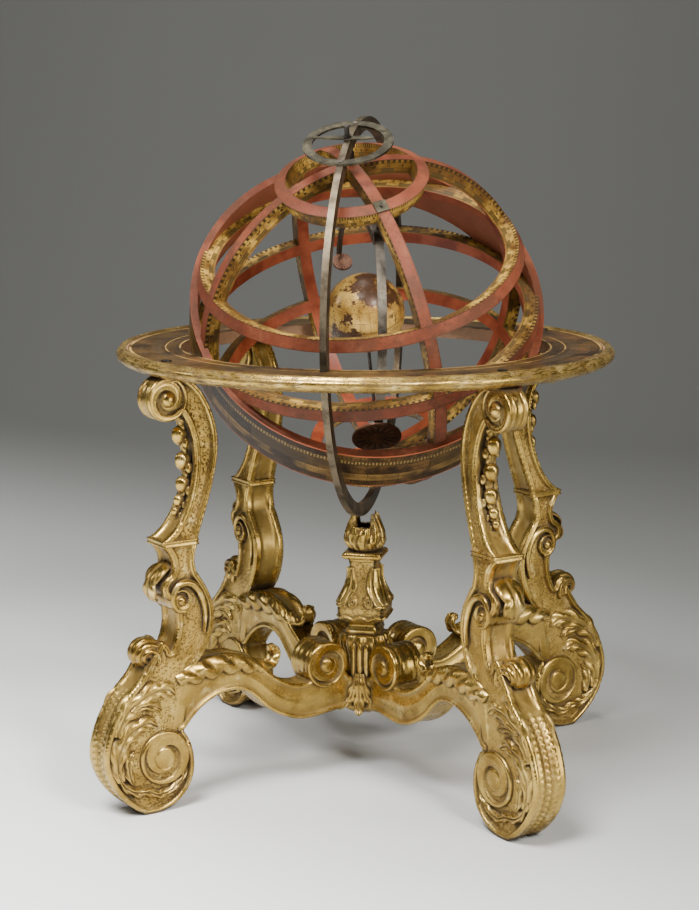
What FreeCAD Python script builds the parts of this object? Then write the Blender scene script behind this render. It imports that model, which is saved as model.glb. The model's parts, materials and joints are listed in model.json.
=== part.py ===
import FreeCAD, Part
import math
import os
import Sketcher
from FreeCAD import Placement, Rotation, Vector

# Armillary sphere in a horizon ring, on a carved four-legged stand.
# Millimetres, +Z up, origin on the floor under the middle of the stand.
# The meridian ring stands in the YZ plane and the north pole leans towards -Y.
# The four legs stand on the diagonals.

X_AXIS = Vector(1, 0, 0)
Y_AXIS = Vector(0, 1, 0)
Z_AXIS = Vector(0, 0, 1)

DRIVING_SIZES = [
    # sphere of hoops
    ("sphere_height", 435.3),
    ("pole_lean", 25.96),
    ("colure_longitude", 304.16),
    ("obliquity", 23.44),
    ("hoop_outer", 162.5),
    ("hoop_inner", 148.5),
    ("lap_radius", 154.0),
    ("lap_gap", 0.15),
    ("seam_turn", 33.0),
    ("hoop_width", 11.5),
    ("colure_width", 11.6),
    # zodiac band, set a little steeper than the ecliptic
    ("zodiac_slope", 27.0),
    ("zodiac_turn", -3.2),
    ("zodiac_outer", 164.5),
    ("zodiac_inner", 157.5),
    ("zodiac_half_angle", 9.7),
    # meridian and hour circle
    ("meridian_outer", 186.5),
    ("meridian_inner", 174.5),
    ("meridian_thickness", 6.0),
    ("hour_circle_outer", 40.6),
    ("hour_circle_inner", 32.4),
    ("hour_circle_level", 181.9),
    ("hour_circle_thickness", 2.0),
    # axles
    ("axle_radius", 2.2),
    ("rod_radius", 1.6),
    ("running_fit", 0.05),
    ("end_gap", 0.4),
    ("nut_radius", 3.6),
    ("bush_top", -146.0),
    ("axle_bottom", 146.0),
    ("axle_top", 200.0),
    ("collar_radius", 4.5),
    ("hand_level", 187.2),
    ("hand_thickness", 1.6),
    # bodies inside the sphere
    ("earth_radius", 37.4),
    ("earth_rise", 5.0),
    ("rod_tip", -19.0),
    ("rod_end", -190.0),
    ("pin_radius", 1.6),
    ("pin_bottom", 112.0),
    ("pin_top", 165.5),
    ("plate_width", 12.0),
    ("plate_thickness", 1.2),
    ("sun_orbit", 133.0),
    ("sun_radius", 22.4),
    ("sun_longitude", -19.6),
    ("moon_orbit", 68.0),
    ("moon_radius", 9.3),
    ("moon_longitude", 174.9),
    # horizon ring
    ("horizon_top", 409.0),
    ("horizon_bottom", 397.0),
    ("horizon_inner", 172.0),
    ("horizon_wood_outer", 224.0),
    ("horizon_outer", 233.3),
    ("paper_outer", 222.0),
    ("paper_thickness", 0.4),
    ("notch_radius", 188.0),
    ("notch_width", 7.0),
    ("ring_screw_circle", 212.0),
    ("ring_screw_radius", 2.2),
    ("ring_screw_length", 16.0),
    ("ring_screw_head_radius", 4.6),
    ("ring_screw_head_height", 1.4),
    ("circle_screw_radius", 1.1),
    ("circle_screw_length", 5.0),
    ("circle_screw_head_radius", 2.2),
    ("circle_screw_head_height", 0.8),
    # stand
    ("leg_thickness", 32.0),
    ("leg_top_thickness", 20.0),
    ("leg_taper_start", 225.0),
    ("leg_taper_end", 345.0),
    ("arm_thickness", 28.0),
    ("hub_radius", 26.0),
    ("dowel_radius", 5.0),
    ("leg_dowel_start", 182.0),
    ("leg_dowel_end", 222.0),
    ("leg_dowel_level", 100.0),
    ("hub_dowel_start", 12.0),
    ("hub_dowel_end", 46.0),
    ("hub_dowel_level", 78.0),
    ("tenon_radius", 6.0),
    ("tenon_bottom", 190.0),
    ("tenon_top", 226.0),
    ("collar_bottom", 206.0),
    ("collar_top", 212.0),
    ("collar_half_width", 19.2),
    ("flame_top", 249.0),
    ("flame_slot_bottom", 236.0),
    ("flame_slot_width", 14.0),
]

doc = FreeCAD.newDocument("ArmillarySphere")
sheet = doc.addObject("Spreadsheet::Sheet", "Sizes")
for row, (alias, value) in enumerate(DRIVING_SIZES, start=1):
    sheet.set(f"A{row}", alias)
    sheet.set(f"B{row}", str(value))
    sheet.setAlias(f"B{row}", alias)
doc.recompute()

size = dict(DRIVING_SIZES)
nodes = {}


def cell(alias):
    """The expression that reads one driving size."""
    return f"<<Sizes>>.{alias}"


def keep(name, item):
    """Name a finished sub-part, so that it is written to its own file."""
    item.Label = name
    nodes[name] = item
    return item


# ---------------------------------------------------------------- places

CENTRE = Vector(0, 0, size["sphere_height"])
TILTED = Placement(CENTRE, Rotation(X_AXIS, size["pole_lean"]))
HOOPS = TILTED * Placement(Vector(), Rotation(Z_AXIS, size["colure_longitude"]))
ECLIPTIC = HOOPS * Placement(Vector(), Rotation(Y_AXIS, size["obliquity"]))
ZODIAC = (HOOPS * Placement(Vector(), Rotation(Z_AXIS, size["zodiac_turn"]))
          * Placement(Vector(), Rotation(Y_AXIS, size["zodiac_slope"])))
SEAM_TURN = Placement(Vector(), Rotation(Z_AXIS, size["seam_turn"]))
UPRIGHT_IN_XZ = Placement(Vector(), Rotation(X_AXIS, 90))
UPRIGHT_IN_YZ = Placement(Vector(), Rotation(Y_AXIS, 90))
LEG_PLACES = [
    ("front_right", -45),
    ("back_right", 45),
    ("back_left", 135),
    ("front_left", -135),
]


def on_leg(angle):
    """Turn a piece from the XZ plane into the plane of one leg."""
    return Placement(Vector(), Rotation(Z_AXIS, angle))


# ---------------------------------------------------------------- makers

def origin_feature(body, role):
    """A plane or axis of a body's own origin."""
    return next(item for item in body.Origin.OriginFeatures if item.Role == role)


def turned(name, corners, place=Placement()):
    """A body turned about its Z axis from a closed outline of (radius, height)
    expressions."""
    body = doc.addObject("PartDesign::Body", name)
    sketch = body.newObject("Sketcher::SketchObject", f"{name}_section")
    sketch.AttachmentSupport = [(origin_feature(body, "XZ_Plane"), "")]
    sketch.MapMode = "FlatFace"
    points = [[evaluate(part) for part in corner] for corner in corners]
    count = len(points)
    for index in range(count):
        start = Vector(*points[index], 0)
        end = Vector(*points[(index + 1) % count], 0)
        sketch.addGeometry(Part.LineSegment(start, end), False)
    for index in range(count):
        sketch.addConstraint(Sketcher.Constraint("Coincident", index, 2, (index + 1) % count, 1))
    for index, corner in enumerate(corners):
        for kind, value, expression in zip(("DistanceX", "DistanceY"), points[index], corner):
            number = sketch.addConstraint(Sketcher.Constraint(kind, index, 1, value))
            sketch.setExpression(f"Constraints[{number}]", expression)
    turn = body.newObject("PartDesign::Revolution", f"{name}_turn")
    turn.Profile = sketch
    turn.ReferenceAxis = (sketch, ["V_Axis"])
    turn.Angle = 360
    body.Placement = place
    return body


def evaluate(expression):
    """The present value of an expression, to draw a sketch at its real size."""
    return float(getattr(sheet.evalExpression(expression), "Value", sheet.evalExpression(expression)))


def hoop(name, inner, outer, half_width, place, latitude="0"):
    """A flat-sided hoop whose section points at the sphere's centre."""
    corners = []
    for radius, side in ((inner, "-"), (outer, "-"), (outer, "+"), (inner, "+")):
        across = f"{side}({half_width})"
        turn = f"({latitude}) * 1 deg"
        corners.append((
            f"({radius}) * cos({turn}) - ({across}) * sin({turn})",
            f"({radius}) * sin({turn}) + ({across}) * cos({turn})",
        ))
    return turned(name, corners, place)


def rod(name, radius, bottom, top, place=Placement()):
    """A cylinder between two heights on the Z axis of its place."""
    item = doc.addObject("Part::Cylinder", name)
    item.setExpression("Radius", radius)
    item.setExpression("Height", f"({top}) - ({bottom})")
    item.Placement = place * Placement(Vector(0, 0, evaluate(bottom)), Rotation())
    return item


def brick(name, lengths, middle, place=Placement()):
    """A box of three lengths about its middle."""
    item = doc.addObject("Part::Box", name)
    sides = [evaluate(length) for length in lengths]
    for key, length in zip(("Length", "Width", "Height"), lengths):
        item.setExpression(key, length)
    corner = Vector(*[centre - side / 2 for centre, side in zip(middle, sides)])
    item.Placement = place * Placement(corner, Rotation())
    return item


def fused(name, items):
    item = doc.addObject("Part::MultiFuse", name)
    item.Shapes = items
    item.Refine = True
    return item


def cut(name, base, tools):
    """The base with every tool taken out of it, one after another."""
    for number, tool in enumerate(tools):
        item = doc.addObject("Part::Cut", f"{name}_{number}")
        item.Base = base
        item.Tool = tool
        base = item
    return base


def shaped(name, shape, place=Placement()):
    """A free shape that no primitive or sketch feature fits."""
    item = doc.addObject("Part::Feature", name)
    item.Shape = shape
    item.Placement = place
    return item


def group(name, items):
    """Equal fasteners as separate solids of one node."""
    item = doc.addObject("Part::Compound", name)
    item.Links = items
    return item


# ---------------------------------------------------------------- outlines in a leg's plane

def flat(point):
    return Vector(point[0], 0, point[1])


def line(*points):
    return Part.LineSegment(flat(points[0]), flat(points[1])).toShape()


def arc(*points):
    return Part.Arc(*[flat(point) for point in points]).toShape()


def curve(*points):
    spline = Part.BSplineCurve()
    spline.interpolate([flat(point) for point in points])
    return spline.toShape()


def slab(edges, thickness):
    """An outline in the XZ plane, thickened evenly to both sides."""
    face = Part.Face(Part.Wire(edges))
    face.translate(Vector(0, -thickness / 2, 0))
    return face.extrude(Vector(0, thickness, 0))


# ---------------------------------------------------------------- horizon ring

def make_horizon():
    wood = turned("horizon_wood", [
        (cell("horizon_inner"), cell("horizon_bottom")),
        (cell("horizon_wood_outer"), cell("horizon_bottom")),
        (cell("horizon_wood_outer"), cell("horizon_top")),
        (cell("horizon_inner"), cell("horizon_top")),
    ])
    paper_top = f"{cell('horizon_top')} + {cell('paper_thickness')}"
    paper = turned("paper_sheet", [
        (cell("horizon_inner"), cell("horizon_top")),
        (cell("paper_outer"), cell("horizon_top")),
        (cell("paper_outer"), paper_top),
        (cell("horizon_inner"), paper_top),
    ])
    rim = cell("horizon_outer")
    moulding = turned("moulding_body", [
        (cell("horizon_wood_outer"), cell("horizon_bottom")),
        (f"{rim} - 4", cell("horizon_bottom")),
        (f"{rim} - 1.2", f"{cell('horizon_bottom')} + 2.2"),
        (rim, f"{cell('horizon_bottom')} + 5.5"),
        (rim, f"{cell('horizon_bottom')} + 8.5"),
        (f"{rim} - 1.2", f"{cell('horizon_bottom')} + 11.8"),
        (f"{rim} - 4", f"{cell('horizon_bottom')} + 14"),
        (cell("horizon_wood_outer"), f"{cell('horizon_bottom')} + 14"),
    ])
    notch_height = f"3 * ({cell('horizon_top')} - {cell('horizon_bottom')})"
    notch_sides = (cell("notch_width"), f"2 * {cell('notch_radius')}", notch_height)
    middle = (0, 0, (size["horizon_bottom"] + size["horizon_top"]) / 2)
    screws = make_ring_screws()
    keep("horizon_ring", cut("horizon_cut", wood, [brick("notch", notch_sides, middle), screws]))
    keep("horizon_paper", cut("paper_cut", paper, [brick("paper_notch", notch_sides, middle), screws]))
    keep("horizon_moulding", moulding)
    return screws


def make_ring_screws():
    """Four wood screws with low round heads, through the ring into the legs."""
    screws = []
    head_bottom = f"{cell('horizon_top')} + {cell('paper_thickness')}"
    for place_name, angle in LEG_PLACES:
        place = on_leg(angle) * Placement(Vector(size["ring_screw_circle"], 0, 0), Rotation())
        tip = f"{cell('horizon_bottom')} - {cell('ring_screw_length')}"
        head_top = f"{head_bottom} + {cell('ring_screw_head_height')}"
        shank = rod(f"shank_{place_name}", cell("ring_screw_radius"), tip, head_bottom, place)
        head = rod(f"head_{place_name}", cell("ring_screw_head_radius"), head_bottom, head_top, place)
        screws.append(fused(f"screw_{place_name}", [shank, head]))
    return keep("ring_screws", group("ring_screw_set", screws))


# ---------------------------------------------------------------- legs and stretcher arms

JOINT_LOW = (207, 71)
JOINT_HIGH = (196, 130)


def leg_outline():
    """Scroll under the ring, S-shaft, shelf, C-scroll, curled bud and scroll foot."""
    return [
        line((200, 397), (216.5, 397)),
        arc((216.5, 397), (230.6, 362.9), (202.4, 362.9)),
        curve((202.4, 362.9), (194, 347), (190.5, 322), (194.5, 295),
              (203, 273), (213.5, 258), (225.5, 249.5)),
        line((225.5, 249.5), (226, 245)),
        curve((226, 245), (219.5, 237.5), (216, 227.5), (219, 218.5)),
        arc((219, 218.5), (227.5, 206), (217, 194.5)),
        curve((217, 194.5), (213, 178), (214.5, 162), (220.2, 149)),
        arc((220.2, 149), (240, 158.6), (245, 137.3)),
        curve((245, 137.3), (251, 127), (263, 115), (276, 97.5), (285, 77),
              (288.5, 58), (283, 36), (267, 14), (248, 0)),
        line((248, 0), (234, 0)),
        curve((234, 0), (221, 4), (208, 13), (199.5, 27), (197.5, 42), (200, 57), JOINT_LOW),
        line(JOINT_LOW, JOINT_HIGH),
        curve(JOINT_HIGH, (186, 143), (179.5, 156), (175.5, 173), (177, 190), (184.5, 206.5), (192.5, 219)),
        curve((192.5, 219), (194.5, 229), (192, 241)),
        curve((192, 241), (189.2, 252), (182.2, 271), (175.5, 290), (169.2, 312),
              (166.1, 336), (171.2, 361.5), (183.8, 384), (200, 397)),
    ]


def leg_taper():
    """Block as deep as the legs at the foot, narrowing towards the scroll under the ring."""
    foot = size["leg_thickness"] / 2
    top = size["leg_top_thickness"] / 2
    reach = size["horizon_outer"] * 2
    height = size["horizon_bottom"]
    corners = [(foot, -height), (foot, size["leg_taper_start"]),
               (top, size["leg_taper_end"]), (top, height * 2)]
    mirrored = [(-y, z) for y, z in reversed(corners)]
    points = [Vector(0, y, z) for y, z in corners + mirrored + corners[:1]]
    return Part.Face(Part.makePolygon(points)).extrude(Vector(reach, 0, 0))


def arm_outline():
    """S-shaped stretcher arm that ends in a volute against the centre block."""
    return [
        line(JOINT_LOW, JOINT_HIGH),
        curve(JOINT_HIGH, (184, 134), (170, 135.5), (150, 134), (131, 126), (112, 110),
              (96, 100), (80, 95), (69.8, 96.5)),
        arc((69.8, 96.5), (52.5, 132), (31.8, 102.5)),
        curve((31.8, 102.5), (27, 95), (20, 92)),
        line((20, 92), (20, 64)),
        curve((20, 64), (34, 64), (48, 63), (78, 61), (99, 67), (122, 82), (139, 97),
              (155, 101.5), (173, 98.5), (190, 89), JOINT_LOW),
    ]


def make_dowel(name, kind, place):
    """Level dowel that points outwards from the stand's axis."""
    level = Placement(Vector(0, 0, size[f"{kind}_level"]), Rotation(Y_AXIS, 90))
    return rod(name, cell("dowel_radius"), cell(f"{kind}_start"), cell(f"{kind}_end"), place * level)


def make_legs_and_arms(screws):
    leg_shape = slab(leg_outline(), size["leg_thickness"]).common(leg_taper())
    arm_shape = slab(arm_outline(), size["arm_thickness"])
    leg_dowels = []
    hub_dowels = []
    for place_name, angle in LEG_PLACES:
        place = on_leg(angle)
        leg_dowel = make_dowel(f"leg_dowel_{place_name}", "leg_dowel", place)
        hub_dowel = make_dowel(f"hub_dowel_{place_name}", "hub_dowel", place)
        leg = shaped(f"leg_blank_{place_name}", leg_shape, place)
        keep(f"leg_{place_name}", cut(f"leg_cut_{place_name}", leg, [leg_dowel, screws]))
        arm = shaped(f"arm_blank_{place_name}", arm_shape, place)
        hub = rod(f"hub_space_{place_name}", cell("hub_radius"), "0", cell("collar_bottom"))
        keep(f"stretcher_{place_name}",
             cut(f"arm_cut_{place_name}", arm, [leg_dowel, hub_dowel, hub]))
        leg_dowels.append(leg_dowel)
        hub_dowels.append(hub_dowel)
    keep("leg_dowels", group("leg_dowel_set", leg_dowels))
    return keep("hub_dowels", group("hub_dowel_set", hub_dowels))


# ---------------------------------------------------------------- centre column

def square_section(half_width, height, corner=0.24):
    """A square with cut corners, level at one height."""
    inset = half_width * (1 - corner)
    ring = [(half_width, -inset), (half_width, inset), (inset, half_width), (-inset, half_width),
            (-half_width, inset), (-half_width, -inset), (-inset, -half_width), (inset, -half_width)]
    points = [Vector(x, y, height) for x, y in ring]
    return Part.makePolygon(points + points[:1])


VASE_SECTIONS = [(132, 17.5), (137, 18.6), (142, 15.5), (149, 21), (156, 26), (163, 26),
                 (174, 20), (186, 15.5), (196, 14.5), (206, 16.5)]
FLAME_SECTIONS = [(212, 13), (217, 18.5), (224, 20.5), (232, 18.5), (240, 14.5), (249, 10.5)]


def lofted(sections):
    return Part.makeLoft([square_section(half, height) for height, half in sections], True, False)


def make_column(hub_dowels):
    """Hub block between the arms, square vase, collar and slotted flame."""
    hub = turned("hub_block", [
        ("0", "54"), ("9", "56"), ("18", "62"), (cell("hub_radius"), "72"),
        (cell("hub_radius"), "124"), ("20", "132"), ("0", "132"),
    ])
    vase = shaped("vase_blank", lofted(VASE_SECTIONS))
    tenon = rod("tenon_rod", cell("tenon_radius"), cell("tenon_bottom"), cell("tenon_top"))
    blank = fused("column_blank", [hub, vase])
    keep("centre_column", cut("column_cut", blank, [hub_dowels, tenon]))
    width = f"2 * {cell('collar_half_width')}"
    height = f"{cell('collar_top')} - {cell('collar_bottom')}"
    level = (size["collar_top"] + size["collar_bottom"]) / 2
    collar = brick("collar_blank", (width, width, height), (0, 0, level))
    keep("column_collar", cut("collar_cut", collar, [tenon]))
    flame = shaped("flame_blank", lofted(FLAME_SECTIONS))
    slot_height = f"2 * ({cell('flame_top')} - {cell('flame_slot_bottom')})"
    slot_length = f"4 * {cell('flame_slot_width')}"
    slot_sides = (cell("flame_slot_width"), slot_length, slot_height)
    slot = brick("flame_slot", slot_sides, (0, 0, size["flame_top"]))
    keep("flame_finial", cut("flame_cut", flame, [slot, tenon]))
    keep("finial_tenon", tenon)


# ---------------------------------------------------------------- meridian

def make_meridian():
    half = f"{cell('meridian_thickness')} / 2"
    place = Placement(CENTRE, Rotation(Y_AXIS, 90))
    blank = turned("meridian_blank", [
        (cell("meridian_inner"), f"-{half}"), (cell("meridian_outer"), f"-{half}"),
        (cell("meridian_outer"), half), (cell("meridian_inner"), half),
    ], place)
    level = cell("hour_circle_level")
    top = f"{level} + {cell('hour_circle_thickness')}"
    circle_section = [
        (cell("hour_circle_inner"), level), (cell("hour_circle_outer"), level),
        (cell("hour_circle_outer"), top), (cell("hour_circle_inner"), top),
    ]
    circle = turned("hour_circle_blank", circle_section, TILTED)
    screws = []
    for side in (-1, 1):
        radius = (size["hour_circle_inner"] + size["hour_circle_outer"]) / 2
        spot = TILTED * Placement(Vector(0, side * radius, 0), Rotation())
        tip = f"{level} - {cell('circle_screw_length')}"
        head_top = f"{top} + {cell('circle_screw_head_height')}"
        shank = rod(f"circle_shank_{side + 1}", cell("circle_screw_radius"), tip, top, spot)
        head = rod(f"circle_head_{side + 1}", cell("circle_screw_head_radius"), top, head_top, spot)
        screws.append(fused(f"circle_screw_{side + 1}", [shank, head]))
    screw_set = keep("hour_circle_screws", group("circle_screw_set", screws))
    bore_radius = f"{cell('axle_radius')} + {cell('running_fit')}"
    bore = rod("axle_bore", bore_radius, cell("axle_bottom"), cell("axle_top"), TILTED)
    south = rod("south_rod_blank", cell("rod_radius"), cell("rod_end"), cell("rod_tip"), TILTED)
    keep("meridian_ring", cut("meridian_cut", blank, [circle, screw_set, bore, south]))
    keep("hour_circle", cut("hour_circle_cut", circle, [screw_set]))
    keep("south_rod", south)
    seat = f"-{cell('meridian_outer')}"
    nut = turned("nut_blank", [
        (cell("rod_radius"), cell("rod_end")), (cell("nut_radius"), cell("rod_end")),
        (cell("nut_radius"), seat), (cell("rod_radius"), seat),
    ], TILTED)
    keep("south_nut", nut)


# ---------------------------------------------------------------- sphere of hoops

PARALLELS = [
    ("arctic_circle", "90 - <<Sizes>>.obliquity"),
    ("tropic_of_cancer", "<<Sizes>>.obliquity"),
    ("equator", "0"),
    ("tropic_of_capricorn", "-<<Sizes>>.obliquity"),
    ("antarctic_circle", "<<Sizes>>.obliquity - 90"),
]


def make_hoops():
    """Hoops halved into each other: parallels keep the outer half where they cross
    a colure, and the solstitial colure keeps it where the two colures cross.
    A thin glue gap is left between the two halves of each joint."""
    outer, inner, lap = cell("hoop_outer"), cell("hoop_inner"), cell("lap_radius")
    half = f"{cell('hoop_width')} / 2"
    colure_half = f"{cell('colure_width')} / 2"
    parallel_place = HOOPS * SEAM_TURN
    solstitial_place = HOOPS * UPRIGHT_IN_XZ * SEAM_TURN
    equinoctial_place = HOOPS * UPRIGHT_IN_YZ * SEAM_TURN
    zodiac_middle = f"({cell('zodiac_outer')} + {cell('zodiac_inner')}) / 2"
    zodiac_half = f"{zodiac_middle} * tan({cell('zodiac_half_angle')} * 1 deg)"
    zodiac = hoop("zodiac_blank", cell("zodiac_inner"), cell("zodiac_outer"), zodiac_half, ZODIAC * SEAM_TURN)
    pin = rod("pin_blank", cell("pin_radius"), cell("pin_bottom"), cell("pin_top"), ECLIPTIC)
    axle = rod("axle_blank", cell("axle_radius"), cell("axle_bottom"), cell("axle_top"), TILTED)
    bush_hole = rod("bush_hole", cell("collar_radius"), f"-{cell('meridian_inner')}", f"1 - {inner}", TILTED)

    beyond, within = f"{outer} + 1", f"{inner} - 1"
    outer_lap = f"{lap} - {cell('lap_gap')}"
    colure_inner = {
        "solstitial": hoop("solstitial_lap", within, lap, colure_half, solstitial_place),
        "equinoctial": hoop("equinoctial_lap", within, lap, colure_half, equinoctial_place),
    }
    outer_halves = []
    for name, latitude in PARALLELS:
        blank = hoop(f"{name}_blank", inner, outer, half, parallel_place, latitude)
        outer_halves.append(hoop(f"{name}_lap", outer_lap, beyond, half, parallel_place, latitude))
        keep(name, cut(f"{name}_cut", blank, [*colure_inner.values(), zodiac, pin]))
    solstitial = hoop("solstitial_blank", inner, outer, colure_half, solstitial_place)
    equinoctial = hoop("equinoctial_blank", inner, outer, colure_half, equinoctial_place)
    solstitial_outer = hoop("solstitial_outer_lap", outer_lap, beyond, colure_half, solstitial_place)
    polar_cap = rod("polar_cap", f"2 * {cell('colure_width')}", f"-{beyond}", beyond, HOOPS)
    equinoctial_crossing = doc.addObject("Part::Common", "equinoctial_crossing")
    equinoctial_crossing.Base = colure_inner["equinoctial"]
    equinoctial_crossing.Tool = polar_cap
    shared = [*outer_halves, zodiac, axle, bush_hole]
    keep("solstitial_colure",
         cut("solstitial_cut", solstitial, [*shared, equinoctial_crossing, pin]))
    keep("equinoctial_colure", cut("equinoctial_cut", equinoctial, [*shared, solstitial_outer]))
    keep("zodiac_band", zodiac)
    keep("north_axle", axle)
    keep("ecliptic_pin", pin)


def make_axle_fittings():
    """Collar and washer on the north axle, and the bush round the south rod."""
    fitted = cell("axle_radius")
    collar = turned("north_collar_blank", [
        (fitted, f"{cell('hoop_outer')} + 0.2"),
        (cell("collar_radius"), f"{cell('hoop_outer')} + 0.2"),
        (cell("collar_radius"), f"{cell('meridian_inner')} - {cell('end_gap')}"),
        (fitted, f"{cell('meridian_inner')} - {cell('end_gap')}"),
    ], TILTED)
    keep("north_collar", collar)
    washer_bottom = f"{cell('hand_level')} + {cell('hand_thickness')} + {cell('end_gap')}"
    washer_top = f"{washer_bottom} + {cell('hand_thickness')}"
    washer = turned("hand_washer_blank", [
        (fitted, washer_bottom), (cell("nut_radius"), washer_bottom),
        (cell("nut_radius"), washer_top), (fitted, washer_top),
    ], TILTED)
    keep("hand_washer", washer)
    sliding = f"{cell('rod_radius')} + {cell('running_fit')}"
    bush = turned("south_bush_blank", [
        (sliding, f"{cell('end_gap')} - {cell('meridian_inner')}"),
        (cell("collar_radius"), f"{cell('end_gap')} - {cell('meridian_inner')}"),
        (cell("collar_radius"), cell("bush_top")), (sliding, cell("bush_top")),
    ], TILTED)
    keep("south_bush", bush)


def make_hour_hand():
    """Leaf-shaped hand with a long and a short end, free on the north axle."""
    level = size["hand_level"]
    leaf = [(-31, -0.7), (-22, -0.7), (-21, -2.2), (-8, -2.6), (8, -2.8), (17, -2.6), (24, 0),
            (17, 2.6), (8, 2.8), (-8, 2.6), (-21, 2.2), (-22, 0.7), (-31, 0.7)]
    points = [Vector(x, y, level) for x, y in leaf]
    blade = Part.Face(Part.makePolygon(points + points[:1])).extrude(Z_AXIS * size["hand_thickness"])
    eye = Part.makeCylinder(4.2, size["hand_thickness"], Vector(0, 0, level))
    hole = Part.makeCylinder(size["axle_radius"] + size["running_fit"], 20, Vector(0, 0, level - 5))
    keep("hour_hand", shaped("hour_hand_shape", blade.fuse(eye).cut(hole).removeSplitter(), TILTED))


def make_ecliptic_fittings():
    """Square plate outside the hoops and nut inside them, both on the pin."""
    plate_sides = (cell("plate_width"), cell("plate_width"), cell("plate_thickness"))
    level = size["hoop_outer"] + 0.75 * size["plate_thickness"]
    plate = brick("plate_blank", plate_sides, (0, 0, level), ECLIPTIC)
    pin = nodes["ecliptic_pin"]
    keep("ecliptic_plate", cut("plate_cut", plate, [pin]))
    nut = turned("pin_nut_blank", [
        (cell("pin_radius"), f"{cell('pin_bottom')} + 1"), (cell("nut_radius"), f"{cell('pin_bottom')} + 1"),
        (cell("nut_radius"), f"{cell('pin_bottom')} + 4"), (cell("pin_radius"), f"{cell('pin_bottom')} + 4"),
    ], ECLIPTIC)
    keep("pin_nut", nut)


# ---------------------------------------------------------------- Earth, Sun and Moon

def make_earth():
    ball = doc.addObject("Part::Sphere", "earth_ball")
    ball.setExpression("Radius", cell("earth_radius"))
    ball.Placement = TILTED * Placement(Vector(0, 0, size["earth_rise"]), Rotation())
    bore = rod("earth_bore", f"{cell('rod_radius')} + {cell('running_fit')}",
               f"-{cell('earth_radius')} - 5", f"{cell('rod_tip')} + 1", TILTED)
    keep("earth_globe", cut("earth_cut", ball, [bore]))


def arm_eye(radius, bottom, top):
    """A flat eye on the pin of the ecliptic, with a running fit."""
    eye = Part.makeCylinder(radius, top - bottom, Vector(0, 0, bottom))
    hole = Part.makeCylinder(size["pin_radius"] + size["running_fit"], 60, Vector(0, 0, bottom - 30))
    return eye, hole


def make_sun():
    """Quarter-circle strip about the sphere's centre with a flat disc on its end."""
    place = ECLIPTIC * Placement(Vector(), Rotation(Z_AXIS, size["sun_longitude"]))
    orbit, strip, width = size["sun_orbit"], 1.6, 8.0
    lowest = math.radians(3)
    middle = math.radians(45)

    def on_arc(radius, angle):
        return (radius * math.cos(angle), radius * math.sin(angle))

    near, far = orbit - strip, orbit
    edges = [
        arc((0, far), on_arc(far, middle), on_arc(far, lowest)),
        line(on_arc(far, lowest), on_arc(near, lowest)),
        arc(on_arc(near, lowest), on_arc(near, middle), (0, near)),
        line((0, near), (0, far)),
    ]
    eye, hole = arm_eye(width * 0.7, near, far)
    rivet_place = place * Placement(Vector(0, 0, 12), Rotation(Y_AXIS, 90))
    rivet = rod("rivet_blank", "1.2", f"{cell('sun_orbit')} - 4", f"{cell('sun_orbit')} + 2.4", rivet_place)
    arm = shaped("sun_arm_shape", slab(edges, width).fuse(eye).cut(hole).removeSplitter(), place)
    keep("sun_arm", cut("sun_arm_cut", arm, [rivet]))
    disc = rod("sun_disc_blank", cell("sun_radius"), cell("sun_orbit"), f"{cell('sun_orbit')} + 1.8",
               place * UPRIGHT_IN_YZ)
    keep("sun_disc", cut("sun_disc_cut", disc, [rivet]))
    keep("sun_rivet", rivet)


def make_moon():
    """Hub block on the pin, bent strip down to the Moon's plane and a small disc."""
    place = ECLIPTIC * Placement(Vector(), Rotation(Z_AXIS, size["moon_longitude"]))
    orbit, strip, width = size["moon_orbit"], 1.6, 5.0
    tip = orbit + size["moon_radius"]
    edges = [
        arc((12, 124), (60, 82), (tip, 0)),
        line((tip, 0), (tip + strip, 0)),
        arc((tip + strip, 0), (61.3, 83.2), (12, 125.8)),
        line((12, 125.8), (12, 124)),
    ]
    block = Part.makeBox(20, 9, 9, Vector(-5, -4.5, 118))
    eye, hole = arm_eye(5, 118, 127)
    body = slab(edges, width).fuse(block).fuse(eye).cut(hole).removeSplitter()
    keep("moon_arm", shaped("moon_arm_shape", body, place))
    disc = rod("moon_disc_blank", cell("moon_radius"), "-1.4", "1.4",
               place * Placement(Vector(orbit, 0, 0), Rotation()))
    keep("moon_disc", disc)


# ---------------------------------------------------------------- build, check and write

ring_screws = make_horizon()
make_column(make_legs_and_arms(ring_screws))
make_meridian()
make_hoops()
make_axle_fittings()
make_hour_hand()
make_ecliptic_fittings()
make_earth()
make_sun()
make_moon()
doc.recompute()

for item in doc.Objects:
    if "Invalid" in item.State or "Error" in item.State:
        raise RuntimeError(f"{item.Name} failed: {item.State}")

os.makedirs("parts", exist_ok=True)
for name, item in nodes.items():
    shape = item.Shape
    if shape.isNull() or not shape.isValid() or not shape.Solids:
        raise RuntimeError(f"{name} has no valid solid")
    shape.exportStep(f"parts/{name}.step")
    print(f"{name}: {len(shape.Solids)} solid(s), {shape.Volume:.0f} mm3")
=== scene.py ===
"""Looks of the armillary sphere on its carved gilt stand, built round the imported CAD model.

The frame is the CAD model's: metres, +Z up, the front at -Y. Shapes are worked out in millimetres, and a
length times MM is in metres. Legs and arms are drawn in the plane of a leg: r outwards from the axis, z up.
"""

import functools
import json
import math

import bpy
import numpy as np
from mathutils import Matrix, Vector, geometry, noise


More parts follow.
